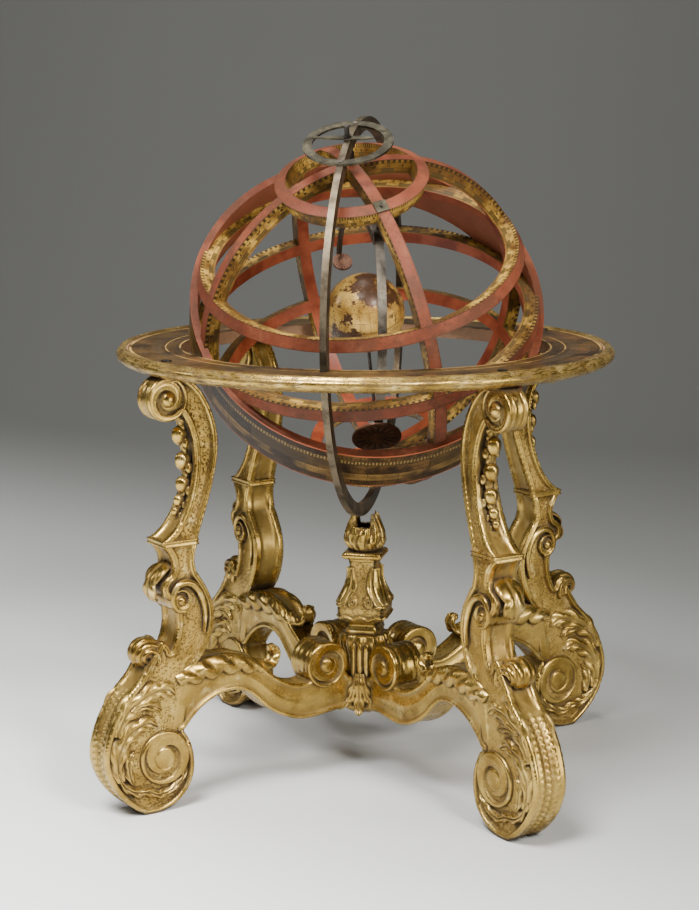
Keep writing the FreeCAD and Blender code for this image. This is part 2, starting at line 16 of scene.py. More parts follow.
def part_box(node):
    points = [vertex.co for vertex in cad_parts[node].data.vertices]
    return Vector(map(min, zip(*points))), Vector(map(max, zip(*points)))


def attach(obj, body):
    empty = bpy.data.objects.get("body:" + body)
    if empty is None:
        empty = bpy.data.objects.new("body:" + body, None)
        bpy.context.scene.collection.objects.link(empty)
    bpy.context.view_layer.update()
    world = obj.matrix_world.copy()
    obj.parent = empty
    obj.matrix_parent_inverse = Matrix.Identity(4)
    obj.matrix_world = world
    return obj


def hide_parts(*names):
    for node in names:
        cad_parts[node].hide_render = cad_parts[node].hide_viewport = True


MM = 0.001
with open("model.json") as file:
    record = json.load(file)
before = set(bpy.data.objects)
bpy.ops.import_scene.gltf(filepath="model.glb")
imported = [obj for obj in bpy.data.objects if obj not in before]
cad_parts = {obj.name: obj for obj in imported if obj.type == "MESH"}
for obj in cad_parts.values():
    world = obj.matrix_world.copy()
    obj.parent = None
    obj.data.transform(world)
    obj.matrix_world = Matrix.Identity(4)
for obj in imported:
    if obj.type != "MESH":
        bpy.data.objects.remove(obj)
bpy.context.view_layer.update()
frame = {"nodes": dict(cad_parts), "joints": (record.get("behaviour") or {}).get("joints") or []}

LEG_ANGLES = {"front_right": -45, "back_right": 45, "back_left": 135, "front_left": -135}
JOINTS = {joint["name"]: joint for joint in frame["joints"]}
CENTRE = Vector(JOINTS["sphere_spin"]["pos_m"])
POLE = Vector(JOINTS["sphere_spin"]["axis"]).normalized()
ECLIPTIC_POLE = Vector(JOINTS["sun_orbit"]["axis"]).normalized()
COLURE_SIDE = (ECLIPTIC_POLE - POLE * ECLIPTIC_POLE.dot(POLE)).normalized()
EQUINOX_SIDE = POLE.cross(COLURE_SIDE)
ZODIAC_SLOPE, ZODIAC_TURN = math.radians(27), math.radians(-3.2)
HOOP_OUTER, HOOP_INNER, HOOP_HALF, COLURE_HALF = 162.5, 148.5, 5.75, 5.8
ZODIAC_OUTER, ZODIAC_HALF = 164.5, 27.5
HOOP_LATITUDES = {"arctic_circle": 66.56, "tropic_of_cancer": 23.44, "equator": 0.0,
                  "tropic_of_capricorn": -23.44, "antarctic_circle": -66.56}


# ---------------------------------------------------------------- formulas that become shader nodes

class Field:
    """A number that varies over a surface. A formula with it becomes shader nodes."""

    def __init__(self, tree, socket):
        self.tree, self.socket = tree, socket

    def calc(self, operation, *others):
        return new_field(self.tree, "Math", "Value", dict(enumerate((self, *others))), operation=operation)

    def __add__(self, other):
        return self.calc("ADD", other)

    def __sub__(self, other):
        return self.calc("SUBTRACT", other)

    def __mul__(self, other):
        return self.calc("MULTIPLY", other)

    def __truediv__(self, other):
        return self.calc("DIVIDE", other)

    def above(self, limit):
        return self.calc("GREATER_THAN", limit)

    def below(self, limit):
        return self.calc("LESS_THAN", limit)

    def at_most(self, limit):
        return self.calc("MINIMUM", limit)

    def at_least(self, limit):
        return self.calc("MAXIMUM", limit)

    def within(self, low, high):
        return self.above(low) * self.below(high)

    def bands(self, *limits):
        """Sum of the bands between pairs of limits."""
        return total(self.within(low, high) for low, high in limits)

    def part(self, period):
        """Place within the current period, 0 to 1."""
        return (self / period).calc("FRACT")

    def flip(self):
        return self.calc("MULTIPLY_ADD", -1.0, 1.0)

    def ramp(self, low, high):
        """0 below low, 1 above high, and a soft step between."""
        entries = {"Value": self, "From Min": low, "From Max": high}
        return new_field(self.tree, "MapRange", "Result", entries, interpolation_type="SMOOTHSTEP")


def total(fields):
    return functools.reduce(Field.__add__, fields)


def feed(tree, value, entry):
    """Links a field or colour socket into an input, or sets the input to a plain value."""
    if isinstance(value, Field):
        tree.links.new(value.socket, entry)
    elif isinstance(value, bpy.types.NodeSocket):
        tree.links.new(value, entry)
    elif isinstance(value, tuple) and entry.type == "RGBA":
        entry.default_value = (*value, 1.0)
    else:
        entry.default_value = value


def new_node(tree, kind, entries, **settings):
    """A shader node with its settings, and its inputs fed by name or number."""
    node = tree.nodes.new(f"ShaderNode{kind}")
    for name, value in settings.items():
        setattr(node, name, value)
    for entry, value in entries.items():
        feed(tree, value, node.inputs[entry])
    return node


def new_field(tree, kind, output, entries, **settings):
    return Field(tree, new_node(tree, kind, entries, **settings).outputs[output])


class Paint:
    """A procedural material in the making."""

    def __init__(self, name):
        self.material = bpy.data.materials.new(name)
        self.material.use_nodes = True
        self.tree = self.material.node_tree
        self.shader = self.tree.nodes["Principled BSDF"]
        self.place = self.tree.nodes.new("ShaderNodeTexCoord").outputs["Object"]

    def noise(self, scale, detail=3.0, rough=0.55, place=None):
        entries = {"Vector": place or self.place, "Scale": scale, "Detail": detail, "Roughness": rough}
        return new_field(self.tree, "TexNoise", "Fac", entries)

    def cells(self, scale):
        """Distance to the nearest of many scattered points, 0 at a point."""
        return new_field(self.tree, "TexVoronoi", "Distance", {"Vector": self.place, "Scale": scale})

    def attribute(self, name):
        return new_field(self.tree, "Attribute", "Fac", {}, attribute_name=name)

    def hollow(self, distance):
        """Ambient occlusion turned round, for painted shade: 1 deep in a recess, 0 in the open."""
        return new_field(self.tree, "AmbientOcclusion", "AO", {"Distance": distance}, samples=6).flip()

    def along(self, axis, origin=(0, 0, 0)):
        """Coordinate along an axis through origin, in metres."""
        offset = new_node(self.tree, "VectorMath", {0: self.place, 1: tuple(origin)}, operation="SUBTRACT")
        entries = {0: offset.outputs["Vector"], 1: tuple(axis)}
        return new_field(self.tree, "VectorMath", "Value", entries, operation="DOT_PRODUCT")

    def vector(self, *fields):
        return new_node(self.tree, "CombineXYZ", dict(enumerate(fields))).outputs["Vector"]

    def round_place(self, axis, side, origin=(0, 0, 0)):
        """Angle in degrees about an axis, distance from it and height along it, in millimetres."""
        axis, side = Vector(axis), Vector(side)
        x = self.along(side, origin)
        y = self.along(axis.cross(side), origin)
        angle = y.calc("ARCTAN2", x) * (180 / math.pi) + 180.0
        distance = (x * x + y * y).calc("SQRT") * 1000.0
        return angle, distance, self.along(axis, origin) * 1000.0

    def mix(self, share, first, second):
        """Colour that goes from the first to the second as share goes from 0 to 1."""
        node = new_node(self.tree, "Mix", {}, data_type="RGBA")
        for value, entry in zip((share, first, second), [entry for entry in node.inputs if entry.enabled]):
            feed(self.tree, value, entry)
        return next(outlet for outlet in node.outputs if outlet.enabled)

    def finish(self, colour, roughness, metallic=0.0, relief=None, depth=0.0,
               coat=0.0, coat_roughness=0.1, specular=0.5):
        """relief is a field of heights from 0 to 1, and depth the height of 1 in metres."""
        entries = {"Base Color": colour, "Roughness": roughness, "Metallic": metallic,
                   "Specular IOR Level": specular, "Coat Weight": coat, "Coat Roughness": coat_roughness}
        if relief is not None:
            bump = new_node(self.tree, "Bump", {"Distance": depth, "Height": relief})
            entries["Normal"] = bump.outputs["Normal"]
        for entry, value in entries.items():
            feed(self.tree, value, self.shader.inputs[entry])
        return self.material


# ---------------------------------------------------------------- materials

def ticks(angle, across, *rows):
    """Rows of tick marks: the pitch in degrees, the inked share of it and the two bounds of each row."""
    return total(angle.part(pitch).below(inked) * across.within(low, high)
                 for pitch, inked, low, high in rows)


def strokes(paint, angle, across, *rows):
    """Rows of short uneven strokes, as fine writing looks from afar: the pitch and the two bounds of each."""
    uneven = paint.noise(900, 1).ramp(0.45, 0.5)
    return total(angle.part(pitch).within(0.25, 0.68) * uneven * across.within(low, high)
                 for pitch, low, high in rows)


def gilding(name="gilding", worn=0.0):
    """Burnished gold leaf over red bole, with painted shade in the recesses, and dark in the stippled ground.
    worn, 0 to 1, adds browned patches and streaks that run round the stand's axis."""
    paint = Paint(name)
    broad, fine = paint.noise(30, 4), paint.noise(240, 4, 0.65)
    punched = paint.attribute("punched")
    # Ambient occlusion, used below as painted shade that darkens the recesses.
    hollow = paint.hollow(8 * MM).ramp(0.09, 0.52)
    # Painted shade in the recesses, from the occlusion and the meshes' recess marks; browned streaks of wear
    # and the dark stipple of the punched ground are added to it below.
    grime_and_shade = (hollow * (fine * 0.9 + 0.62)).at_least(paint.attribute("recess") * fine * 1.3)
    if worn:
        angle, radius, level = paint.round_place((0, 0, 1), (1, 0, 0))
        lengthwise = paint.noise(1, 4, 0.7, paint.vector(angle * 0.35, radius * 0.9, level * 0.9))
        streaks = paint.noise(55, 6, 0.75).ramp(0.48, 0.64) * 0.5 + lengthwise.ramp(0.48, 0.60) * 0.9
        grime_and_shade = grime_and_shade.at_least(streaks * worn)
    ground = paint.cells(460).ramp(0.12, 0.5)
    grime_and_shade = grime_and_shade.at_least(ground.flip() * punched * 0.55).at_most(0.96)
    gold = paint.mix(broad.ramp(0.3, 0.7), (0.23, 0.138, 0.028), (0.50, 0.338, 0.088))
    # Pale gold patches at random places: partly painted highlight, partly rubbed gold.
    gold = paint.mix(paint.noise(70, 3).ramp(0.56, 0.74) * 0.5, gold, (0.84, 0.64, 0.26))
    bole = (paint.noise(120, 5, 0.7).ramp(0.60, 0.70) * paint.noise(22, 2).ramp(0.5, 0.66)) * 0.85
    gold = paint.mix(bole, gold, (0.23, 0.085, 0.045))
    # Dark brown where the painted shade, the wear streaks and the stipple lie.
    colour = paint.mix(grime_and_shade, gold, (0.052, 0.033, 0.018))
    relief = fine * 0.30 + ground * punched * 2.4
    metallic = grime_and_shade.flip() * (bole.flip() * 0.94)
    roughness = grime_and_shade * 0.35 + fine * 0.20 + 0.15 + punched * 0.10
    return paint.finish(colour, roughness, metallic, relief, 0.4 * MM, specular=0.15)


def old_metal(name, dark, light, roughness, scratch=0.3):
    """Metal with a cloudy patina and fine scratches."""
    paint = Paint(name)
    clouds, specks = paint.noise(45, 5, 0.7), paint.noise(700, 2)
    colour = paint.mix(clouds.ramp(0.32, 0.68), dark, light)
    colour = paint.mix(specks.ramp(0.60, 0.72) * 0.5, colour, tuple(0.35 * c for c in dark))
    rough = clouds * 0.25 + (roughness - 0.1)
    return paint.finish(colour, rough, 0.9, specks * scratch + clouds, 0.12 * MM)


def meridian_paint():
    """Bright brushed rim and dark engraved flanks with a degree scale."""
    paint = Paint("meridian_metal")
    low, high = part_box("meridian_ring")
    reach = (high.z - low.z) / (2 * MM)
    angle, distance, _ = paint.round_place((1, 0, 0), (0, 0, 1), CENTRE)
    rim = distance.above(reach - 0.3)
    clouds = paint.noise(40, 5, 0.7)
    edge = reach - 0.8
    scale = ticks(angle, distance, (1, 0.3, reach - 3.0, edge), (5, 0.09, reach - 5.0, edge))
    scale = scale + distance.within(reach - 3.3, reach - 3.0)
    flank = paint.mix(clouds.ramp(0.32, 0.7), (0.045, 0.030, 0.016), (0.17, 0.125, 0.075))
    flank = paint.mix(scale * 0.7, flank, (0.012, 0.010, 0.008))
    bright = paint.mix(clouds.ramp(0.40, 0.66), (0.135, 0.106, 0.068), (0.034, 0.025, 0.015))
    colour = paint.mix(rim, flank, bright)
    return paint.finish(colour, clouds * 0.25 + 0.38, 0.9, clouds + scale * -0.7, 0.14 * MM)


def bare_wood():
    paint = Paint("bare_wood")
    grain = paint.noise(160, 5, 0.7)
    colour = paint.mix(grain, (0.20, 0.10, 0.05), (0.36, 0.21, 0.11))
    return paint.finish(colour, grain * 0.2 + 0.5, 0.0, grain, 0.3 * MM)


VARNISHED = ((0.090, 0.042, 0.009), (0.52, 0.315, 0.064))
INK = (0.022, 0.013, 0.006)


def printed_paper(paint, ink, dark_share, tones=VARNISHED):
    """Colour of browned, varnished paper with printed ink and dark painted blocks."""
    stain = paint.noise(60, 5, 0.65).ramp(0.34, 0.66) * paint.noise(13, 3).ramp(0.38, 0.60)
    paper = paint.mix(stain, *tones)
    paper = paint.mix(dark_share, paper, (0.055, 0.035, 0.012))
    return paint.mix(ink, paper, INK)


def red_coat(paint):
    """Matt vermilion, paler and pinker where it is rubbed, with dark specks."""
    rubbed = paint.noise(30, 6, 0.7).ramp(0.44, 0.74)
    red = paint.mix(paint.noise(14, 3).ramp(0.35, 0.65), (0.090, 0.021, 0.010), (0.170, 0.046, 0.022))
    red = paint.mix(rubbed * 0.6, red, (0.225, 0.084, 0.044))
    red = paint.mix(paint.noise(19, 5, 0.75).ramp(0.44, 0.62) * 0.75, red, (0.070, 0.028, 0.015))
    return paint.mix(paint.noise(420, 4, 0.7).ramp(0.56, 0.68) * 0.85, red, (0.055, 0.020, 0.011))


def hoop_paint(name, axis, side, latitude, half):
    """Red outside, printed paper on the flat sides with check ticks, blocks and strokes, red-brown inside."""
    paint = Paint(name)
    angle, distance, height = paint.round_place(axis, side, CENTRE)
    slope = math.radians(latitude)
    out = distance * math.cos(slope) + height * math.sin(slope)
    across = (height * math.cos(slope) - distance * math.sin(slope)).calc("ABSOLUTE")
    edge = across.above(half - 0.7)
    outside, within = out.above(HOOP_OUTER - 0.25), out.below(HOOP_INNER + 0.25)
    deep = out.flip() + (HOOP_OUTER - 1)
    checks = angle.part(2).above(0.5) * deep.within(0.5, 3.2)
    lines = deep.bands((0.3, 0.5), (3.4, 3.8), (8.3, 8.6), (11.6, 12.0))
    marks = angle.part(5).within(0.34, 0.66) * deep.within(4.7, 7.4) * paint.noise(620, 2).ramp(0.47, 0.53)
    ink = (checks + lines + marks).at_most(0.95)
    blocks = angle.part(10).above(0.5) * deep.within(8.6, 11.6) + deep.above(12.0) * 0.7
    sides = printed_paper(paint, ink, blocks * 0.85)
    red = red_coat(paint)
    faces = paint.mix(outside, sides, paint.mix(edge * 0.8, red, (0.055, 0.022, 0.010)))
    warm = paint.mix(paint.noise(40, 4).ramp(0.35, 0.65), (0.15, 0.029, 0.012), (0.27, 0.066, 0.027))
    colour = paint.mix(within, faces, warm)
    relief = paint.noise(300, 4, 0.6)
    roughness = outside * 0.18 + relief * 0.2 + 0.26
    return paint.finish(colour, roughness, 0.0, relief, 0.18 * MM, specular=0.14)


def zodiac_paint(axis, side):
    """Bands of printed scales on the broad outside, on paper kept dark as painted shade, red-brown within."""
    paint = Paint("zodiac_print")
    angle, distance, height = paint.round_place(axis, side, CENTRE)
    outside = distance.above(ZODIAC_OUTER - 0.25)
    flank = height.calc("ABSOLUTE").above(ZODIAC_HALF - 0.12)
    share = height / ZODIAC_HALF
    scales = ticks(angle, share, (1, 0.35, -0.94, -0.80), (5, 0.12, -0.80, -0.66),
                   (30, 0.012, -0.66, 0.38), (10, 0.02, -0.66, -0.2))
    lines = share.bands((0.37, 0.395), (0.62, 0.645), (-0.66, -0.645), (-0.80, -0.785), (-0.2, -0.19))
    words = strokes(paint, angle, share, (0.55, -0.52, -0.30), (1.4, 0.68, 0.86), (0.8, 0.02, 0.2))
    ink = (scales + lines + words).at_most(0.9)
    dark = share.within(0.395, 0.62) + angle.part(60).above(0.5) * share.within(-0.18, 0.37) * 0.5
    # Paper tones far darker than the other hoops' paper: old browned paper, and painted shade for the shadow
    # under the horizon ring.
    browned_and_shaded = ((0.016, 0.008, 0.004), (0.135, 0.070, 0.020))
    face = printed_paper(paint, ink, dark.at_most(0.92), browned_and_shaded)
    pale = strokes(paint, angle, share, (1.1, 0.42, 0.6))
    face = paint.mix(pale * 0.7, face, (0.40, 0.26, 0.08))
    faded = paint.noise(16, 4, 0.6).ramp(0.42, 0.58)
    face = paint.mix(share.within(-0.62, -0.22) * ink.flip() * faded * 0.6, face, (0.28, 0.165, 0.045))
    face = paint.mix(share.above(0.93), face, (0.40, 0.10, 0.04))
    face = paint.mix(share.below(-0.95), face, (0.20, 0.06, 0.03))
    brown = paint.mix(paint.noise(60, 4), (0.15, 0.045, 0.025), (0.27, 0.09, 0.045))
    colour = paint.mix(outside, brown, face)
    colour = paint.mix(flank, colour, red_coat(paint))
    relief = paint.noise(260, 4, 0.6)
    return paint.finish(colour, relief * 0.25 + 0.25, 0.0, relief, 0.15 * MM,
                        coat=0.02, coat_roughness=0.3, specular=0.08)


def horizon_paint():
    """Concentric printed bands on the horizon, browned by old varnish."""
    paint = Paint("horizon_print")
    angle, radius, _ = paint.round_place((0, 0, 1), (1, 0, 0))
    circles = (173.6, 177, 181, 188, 191, 200, 207, 211, 217, 220.5)
    lines = radius.bands(*((circle, circle + 0.5) for circle in circles))
    scales = ticks(angle, radius, (1, 0.4, 174, 177), (0.986, 0.4, 188, 191), (5, 0.1, 177, 181),
                   (30, 0.012, 181, 220))
    words = strokes(paint, angle, radius, (0.6, 182.5, 186.5), (0.8, 193, 198), (0.5, 202, 205.5),
                    (1.2, 212.5, 216))
    ink = (lines + scales + words).at_most(0.85)
    blocks = angle.part(10).above(0.5) * radius.within(207.5, 211) * 0.6 + radius.within(191, 200) * 0.55
    stain = paint.noise(26, 6, 0.7)
    paper = paint.mix(stain.ramp(0.34, 0.68), (0.010, 0.006, 0.003), (0.085, 0.045, 0.012))
    paper = paint.mix(blocks, paper, (0.05, 0.035, 0.018))
    paper = paint.mix(paint.noise(14, 5, 0.7).ramp(0.50, 0.66) * 0.5, paper, (0.20, 0.085, 0.030))
    colour = paint.mix(ink, paper, INK)
    gilt = radius.bands((173, 174.5), (186.5, 187.6), (219, 221))
    colour = paint.mix(gilt * stain.ramp(0.35, 0.6), colour, (0.38, 0.24, 0.07))
    relief = paint.noise(180, 5, 0.65)
    return paint.finish(colour, relief * 0.3 + 0.2, 0.0, relief, 0.2 * MM,
                        coat=0.04, coat_roughness=0.25, specular=0.12)


def globe_paint():
    """A small printed globe: graticule, pale seas, land in darker brown."""
    paint = Paint("globe_print")
    angle, distance, height = paint.round_place(POLE, COLURE_SIDE, sum(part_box("earth_globe"), Vector()) / 2)
    latitude = height.calc("ARCTAN2", distance) * (180 / math.pi) + 90.0
    grid = angle.part(15).below(0.045) + latitude.part(15).below(0.045)
    land_edge = paint.noise(26, 6, 0.72)
    land = land_edge.ramp(0.505, 0.52)
    coast = land_edge.within(0.50, 0.512)
    ring = latitude.within(88.6, 91.4) * angle.part(2).above(0.5)
    marks = paint.noise(620, 2).ramp(0.60, 0.64) * 0.55
    sea = paint.mix(paint.noise(50, 4).ramp(0.3, 0.7), (0.23, 0.110, 0.018), (0.58, 0.37, 0.088))
    ground = paint.mix(paint.noise(90, 3), (0.020, 0.009, 0.004), (0.080, 0.033, 0.012))
    sea = paint.mix(paint.noise(36, 5, 0.7).ramp(0.52, 0.68) * 0.7, sea, (0.12, 0.052, 0.012))
    colour = paint.mix(land, sea, ground)
    ink = (grid * 0.6 + coast + ring + marks).at_most(0.85)
    colour = paint.mix(ink, colour, (0.09, 0.045, 0.02))
    return paint.finish(colour, land * 0.1 + 0.3, 0.2, marks, 0.05 * MM, coat=0.06, specular=0.25)


DIAL_LEVEL = 183.5


def dial_paint():
    """Grey-green metal ring with engraved hour strokes."""
    paint = Paint("dial_metal")
    angle, distance, height = paint.round_place(POLE, COLURE_SIDE, CENTRE)
    clouds = paint.noise(60, 5, 0.7)
    marks = ticks(angle, distance, (15, 0.09, 34, 39.4), (3.75, 0.12, 38, 40))
    marks = marks + distance.bands((33.4, 33.8), (39.4, 39.8))
    marks = (marks * height.above(DIAL_LEVEL)).at_most(1.0)
    colour = paint.mix(clouds.ramp(0.35, 0.68), (0.028, 0.024, 0.015), (0.112, 0.098, 0.062))
    colour = paint.mix(marks * 0.8, colour, (0.03, 0.025, 0.02))
    return paint.finish(colour, clouds * 0.3 + 0.3, 0.85, clouds + marks * -0.8, 0.15 * MM)


def disc_paint(node, dark, light):
    """Engraved disc: a rayed sun round a plain boss, inside a rim line."""
    paint = Paint(f"{node}_metal")
    low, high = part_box(node)
    middle = (low + high) / 2
    flat = max(frame["nodes"][node].data.polygons, key=lambda face: face.area).normal.copy()
    side = flat.orthogonal().normalized()
    reach = (high - low).length / (2 * MM) * 0.7
    angle, distance, _ = paint.round_place(flat, side, middle)
    rays = angle.part(22.5).within(0.3, 0.7) * distance.within(reach * 0.36, reach * 0.80)
    rays = rays + angle.part(7.5).within(0.35, 0.65) * distance.within(reach * 0.84, reach * 0.93)
    rays = rays + distance.bands((reach * 0.32, reach * 0.35), (reach * 0.80, reach * 0.82))
    clouds = paint.noise(90, 5, 0.7)
    colour = paint.mix(clouds.ramp(0.3, 0.7), dark, light)
    colour = paint.mix(rays.at_most(1.0) * 0.7, colour, (0.015, 0.008, 0.005))
    return paint.finish(colour, clouds * 0.3 + 0.3, 0.75, clouds - rays, 0.2 * MM)


# ---------------------------------------------------------------- shapes

class Shape:
    """Points, faces and marks of painted shade and punched ground gathered for one piece. Points are in
    millimetres until it is made.
    """

    def __init__(self):
        self.points, self.faces, self.recess, self.punched = [], [], [], []

    def add(self, points, faces, recess=None, punched=None):
        """recess and punched are marks from 0 to 1: recess for painted shade, punched for the stippled
        ground. They are in the order of the points, and may stop early.
        """
        start = len(self.points)
        self.points.extend(map(tuple, points))
        self.faces.extend(tuple(start + index for index in face) for face in faces)
        for marks, values in ((self.recess, recess), (self.punched, punched)):
            marks.extend([] if values is None else np.ravel(values))
            marks.extend([0.0] * (len(self.points) - len(marks)))
        return self

    def mesh(self, name, material):
        mesh = bpy.data.meshes.new(name)
        mesh.from_pydata([tuple(MM * value for value in point) for point in self.points], [], self.faces)
        for title, values in (("recess", self.recess), ("punched", self.punched)):
            layer = mesh.attributes.new(title, "FLOAT", "POINT")
            layer.data.foreach_set("value", np.array(values, np.float32))
        mesh.materials.append(material)
        mesh.validate()
        mesh.shade_smooth()
        return mesh


def show(name, mesh, turn=0.0, replaces=()):
    """A gilt piece of the stand, turned about its axis by an angle in degrees."""
    piece = bpy.data.objects.new(name, mesh)
    bpy.context.scene.collection.objects.link(piece)
    piece.matrix_world = Matrix.Rotation(math.radians(turn), 4, "Z")
    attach(piece, "stand")
    if replaces:
        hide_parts(*replaces)


def stitch(low, high, size):
    """Faces between two closed rings of as many points, which start at the indices low and high."""
    pairs = [(k, (k + 1) % size) for k in range(size)]
    return [(low + k, low + after, high + after, high + k) for k, after in pairs]


def tube(rings):
    """Closed skin over rings of points, an array of (rings, points in a ring, 3)."""
    count, size = rings.shape[:2]
    points = [*rings.reshape(-1, 3), rings[0].mean(0), rings[-1].mean(0)]
    faces = [face for row in range(count - 1) for face in stitch(row * size, (row + 1) * size, size)]
    first, last = count * size, count * size + 1
    for column in range(size):
        after = (column + 1) % size
        faces.append((first, after, column))
        faces.append((last, (count - 1) * size + column, (count - 1) * size + after))
    return points, faces


def around(count):
    """Evenly spaced angles of a full turn, as one row."""
    return np.linspace(0, 2 * math.pi, count, endpoint=False)[None, :]


def shares(count):
    """Evenly spaced places from 0 to 1, as one column."""
    return np.linspace(0, 1, count)[:, None]


def folds(phase):
    """Rounded folds with sharp valleys, from -1 to 1, one for each pi of phase."""
    return 2 * np.abs(np.sin(phase)) - 1


def bell(value, width):
    """1 at 0, falling off softly over width on both sides."""
    return np.exp(-np.square(value / width))


def step(value, low, high):
    share = np.clip((value - low) / (high - low), 0, 1)
    return share * share * (3 - 2 * share)


def hollows(heights, reach=2, strength=0.9):
    """How deep each place of a grid of heights lies under its surroundings, 0 to 1."""
    mean = np.zeros_like(heights)
    padded = np.pad(heights, reach, mode="edge")
    rows, columns = heights.shape
    for down in range(2 * reach + 1):
        for right in range(2 * reach + 1):
            mean = mean + padded[down:down + rows, right:right + columns]
    mean /= (2 * reach + 1) ** 2
    return np.clip((mean - heights) * strength, 0, 1)


def spline(corners, count):
    """Smooth run of points through corners."""
    corners = np.array(corners, float)
    ends = np.vstack([2 * corners[0] - corners[1], corners, 2 * corners[-1] - corners[-2]])
    places = np.linspace(0, len(corners) - 1 - 1e-9, count)
    index = places.astype(int)
    share = (places - index)[:, None]
    a, b, c, d = (ends[index + k] for k in range(4))
    bend = 2 * a - 5 * b + 4 * c - d
    twist = 3 * b - a - 3 * c + d
    return 0.5 * (2 * b + (c - a) * share + bend * share ** 2 + twist * share ** 3)


def two_sided(top, under, dark, under_share):
    """Closed skin round the top and the underside of a leaf, with how dark each point of it is."""
    points, faces = tube(np.concatenate([top, under[:, -2:0:-1]], axis=1))
    return points, faces, np.concatenate([dark, under_share * dark[:, -2:0:-1]], axis=1)


WRAP = 0.02


def blade(path, sideways, half_width, thickness, relief, across, reach=1.0):
    """Strap or leaf along a path, bent down over its sides by the angle WRAP. half_width, thickness and
    reach, the share of the width that the edge comes out to, may be one value for each place on the path.
    relief(along, across) is a rise of the top side, with along from 0 to 1 and across from -1 to 1."""
    path = np.array(path, float)
    count = len(path)
    sideways = np.broadcast_to(np.array(sideways, float), path.shape)
    sideways = sideways / np.linalg.norm(sideways, axis=1)[:, None]
    up = np.cross(np.gradient(path, axis=0), sideways)
    up /= np.linalg.norm(up, axis=1)[:, None]
    place = np.sin(np.linspace(-math.pi / 2, math.pi / 2, across))[None, :]
    rise = relief(shares(count), place)
    crown = np.sqrt(np.clip(1 - place ** 2, 0, 1))
    wide, thick, share = (np.broadcast_to(v, count)[:, None] for v in (half_width, thickness, reach))
    angle = WRAP * place * share
    radius = wide / WRAP

    def skin(lift):
        aside = (radius + lift) * np.sin(angle)
        above = (radius + lift) * np.cos(angle) - radius
        out = sideways[:, None, :] * aside[:, :, None] + up[:, None, :] * above[:, :, None]
        return path[:, None, :] + out
    # Painted shade: darker in the valleys of the folds and along the edges of the leaf.
    dark = np.clip(hollows(rise) + 0.9 * step(np.abs(place), 0.9, 1.0), 0, 1)
    return two_sided(skin((thick + rise) * crown), skin(-0.6 * thick * crown), dark, 0.6)


def no_relief(along, across):
    return 0 * (along + across)


def acanthus(lobes, depth):
    """Rounded folds that sweep from the vein to the lobes of a leaf, with sharp valleys between them."""
    def relief(along, across):
        away = np.abs(across)
        swept = 0.7 * folds(math.pi * (lobes * along - 0.8 * away)) * away ** 0.6
        return depth * (swept - 0.9 * bell(across, 0.12) - 0.3 * across ** 2)
    return relief


def leaf(path, half_width, thickness, lobes, depth, count=60, sideways=(0, 1, 0)):
    """Points, faces and hollows of an acanthus leaf whose edge is lobed and whose tip is narrow."""
    along = np.linspace(0, 1, count)
    edge = 0.66 + 0.34 * np.abs(np.sin(math.pi * (lobes * along - 0.8))) ** 0.7
    swell = (0.5 + 0.5 * step(along, 0, 0.3)) * np.sqrt(np.clip(1 - along ** 3.2, 0.012, 1))
    body = thickness * np.sqrt(np.clip(1 - along ** 4, 0.05, 1))
    ribs = acanthus(lobes, depth)
    return blade(spline(path, count), sideways, half_width, body, ribs, 19, edge * swell)


def saddle_leaf(path, half_width, drop):
    """Leaf that lies along a bar, with lobed flaps down over both sides, and whose tip stands free.
    half_width and drop are one value for each corner of the path."""
    thickness, lobes, depth, count = 3.2, 8, 1.1, 170
    corners = np.linspace(0, 1, len(path))
    along = shares(count)
    wide = np.interp(along, corners, half_width)
    fall = np.interp(along, corners, drop)
    place = np.linspace(-1, 1, 41)[None, :]
    away = np.abs(place)
    turn = place * math.pi / 2
    lobe = 0.62 + 0.38 * np.abs(np.sin(math.pi * (lobes * along - 1.4))) ** 0.7
    rise = depth * folds(math.pi * (lobes * along - 1.4 * away)) * step(away, 0.04, 0.5)
    rise = rise - 1.4 * depth * bell(place, 0.09)
    aside = np.sign(turn) * wide * np.abs(np.sin(turn)) ** 0.5
    below = -fall * lobe * (1 - np.cos(turn)) ** 2.0
    lift = (thickness + rise) * np.clip(1 - away ** 7, 0, 1)
    level = spline(path, count)
    forward = np.gradient(level, axis=0)
    up = np.cross(forward, (0, -1, 0))
    up = (up / np.linalg.norm(up, axis=1)[:, None])[:, None, :]
    lean = step(away, 0.45, 0.75)
    out = np.sign(place) * lean * lift

    def skin(aside, height):
        return level[:, None, :] + np.array([0, -1.0, 0]) * aside[:, :, None] + up * height[:, :, None]
    # Painted shade: darker in the valleys of the folds and along the edges of the leaf.
    dark = np.clip(hollows(rise) + 0.9 * step(away, 0.93, 1.0), 0, 1)
    top = skin(aside + out, below + lift * (1 - lean))
    return two_sided(top, skin(aside * 0.96, below - 1.0), dark, 0.7)


def side_leaves(shape, path, level, half_width, lobes):
    """The same leaf in relief on both sides of a slab. level is its height over the leg's plane."""
    thickness, depth = 4.8, 2.4
    for side in (-1, 1):
        run = np.array([(r, side * level, z) for r, z in path], float)
        across = np.cross((0.0, side, 0.0), np.gradient(spline(run, 60), axis=0))
        shape.add(*leaf(run, half_width, thickness, lobes, depth, sideways=across))


def about(middle, reach, width, turn):
    """Points at a reach and turn about a middle in the leg's plane, and at a width out of it."""
    return np.stack([middle[0] + reach * np.cos(turn), width, middle[1] + reach * np.sin(turn)], axis=2)


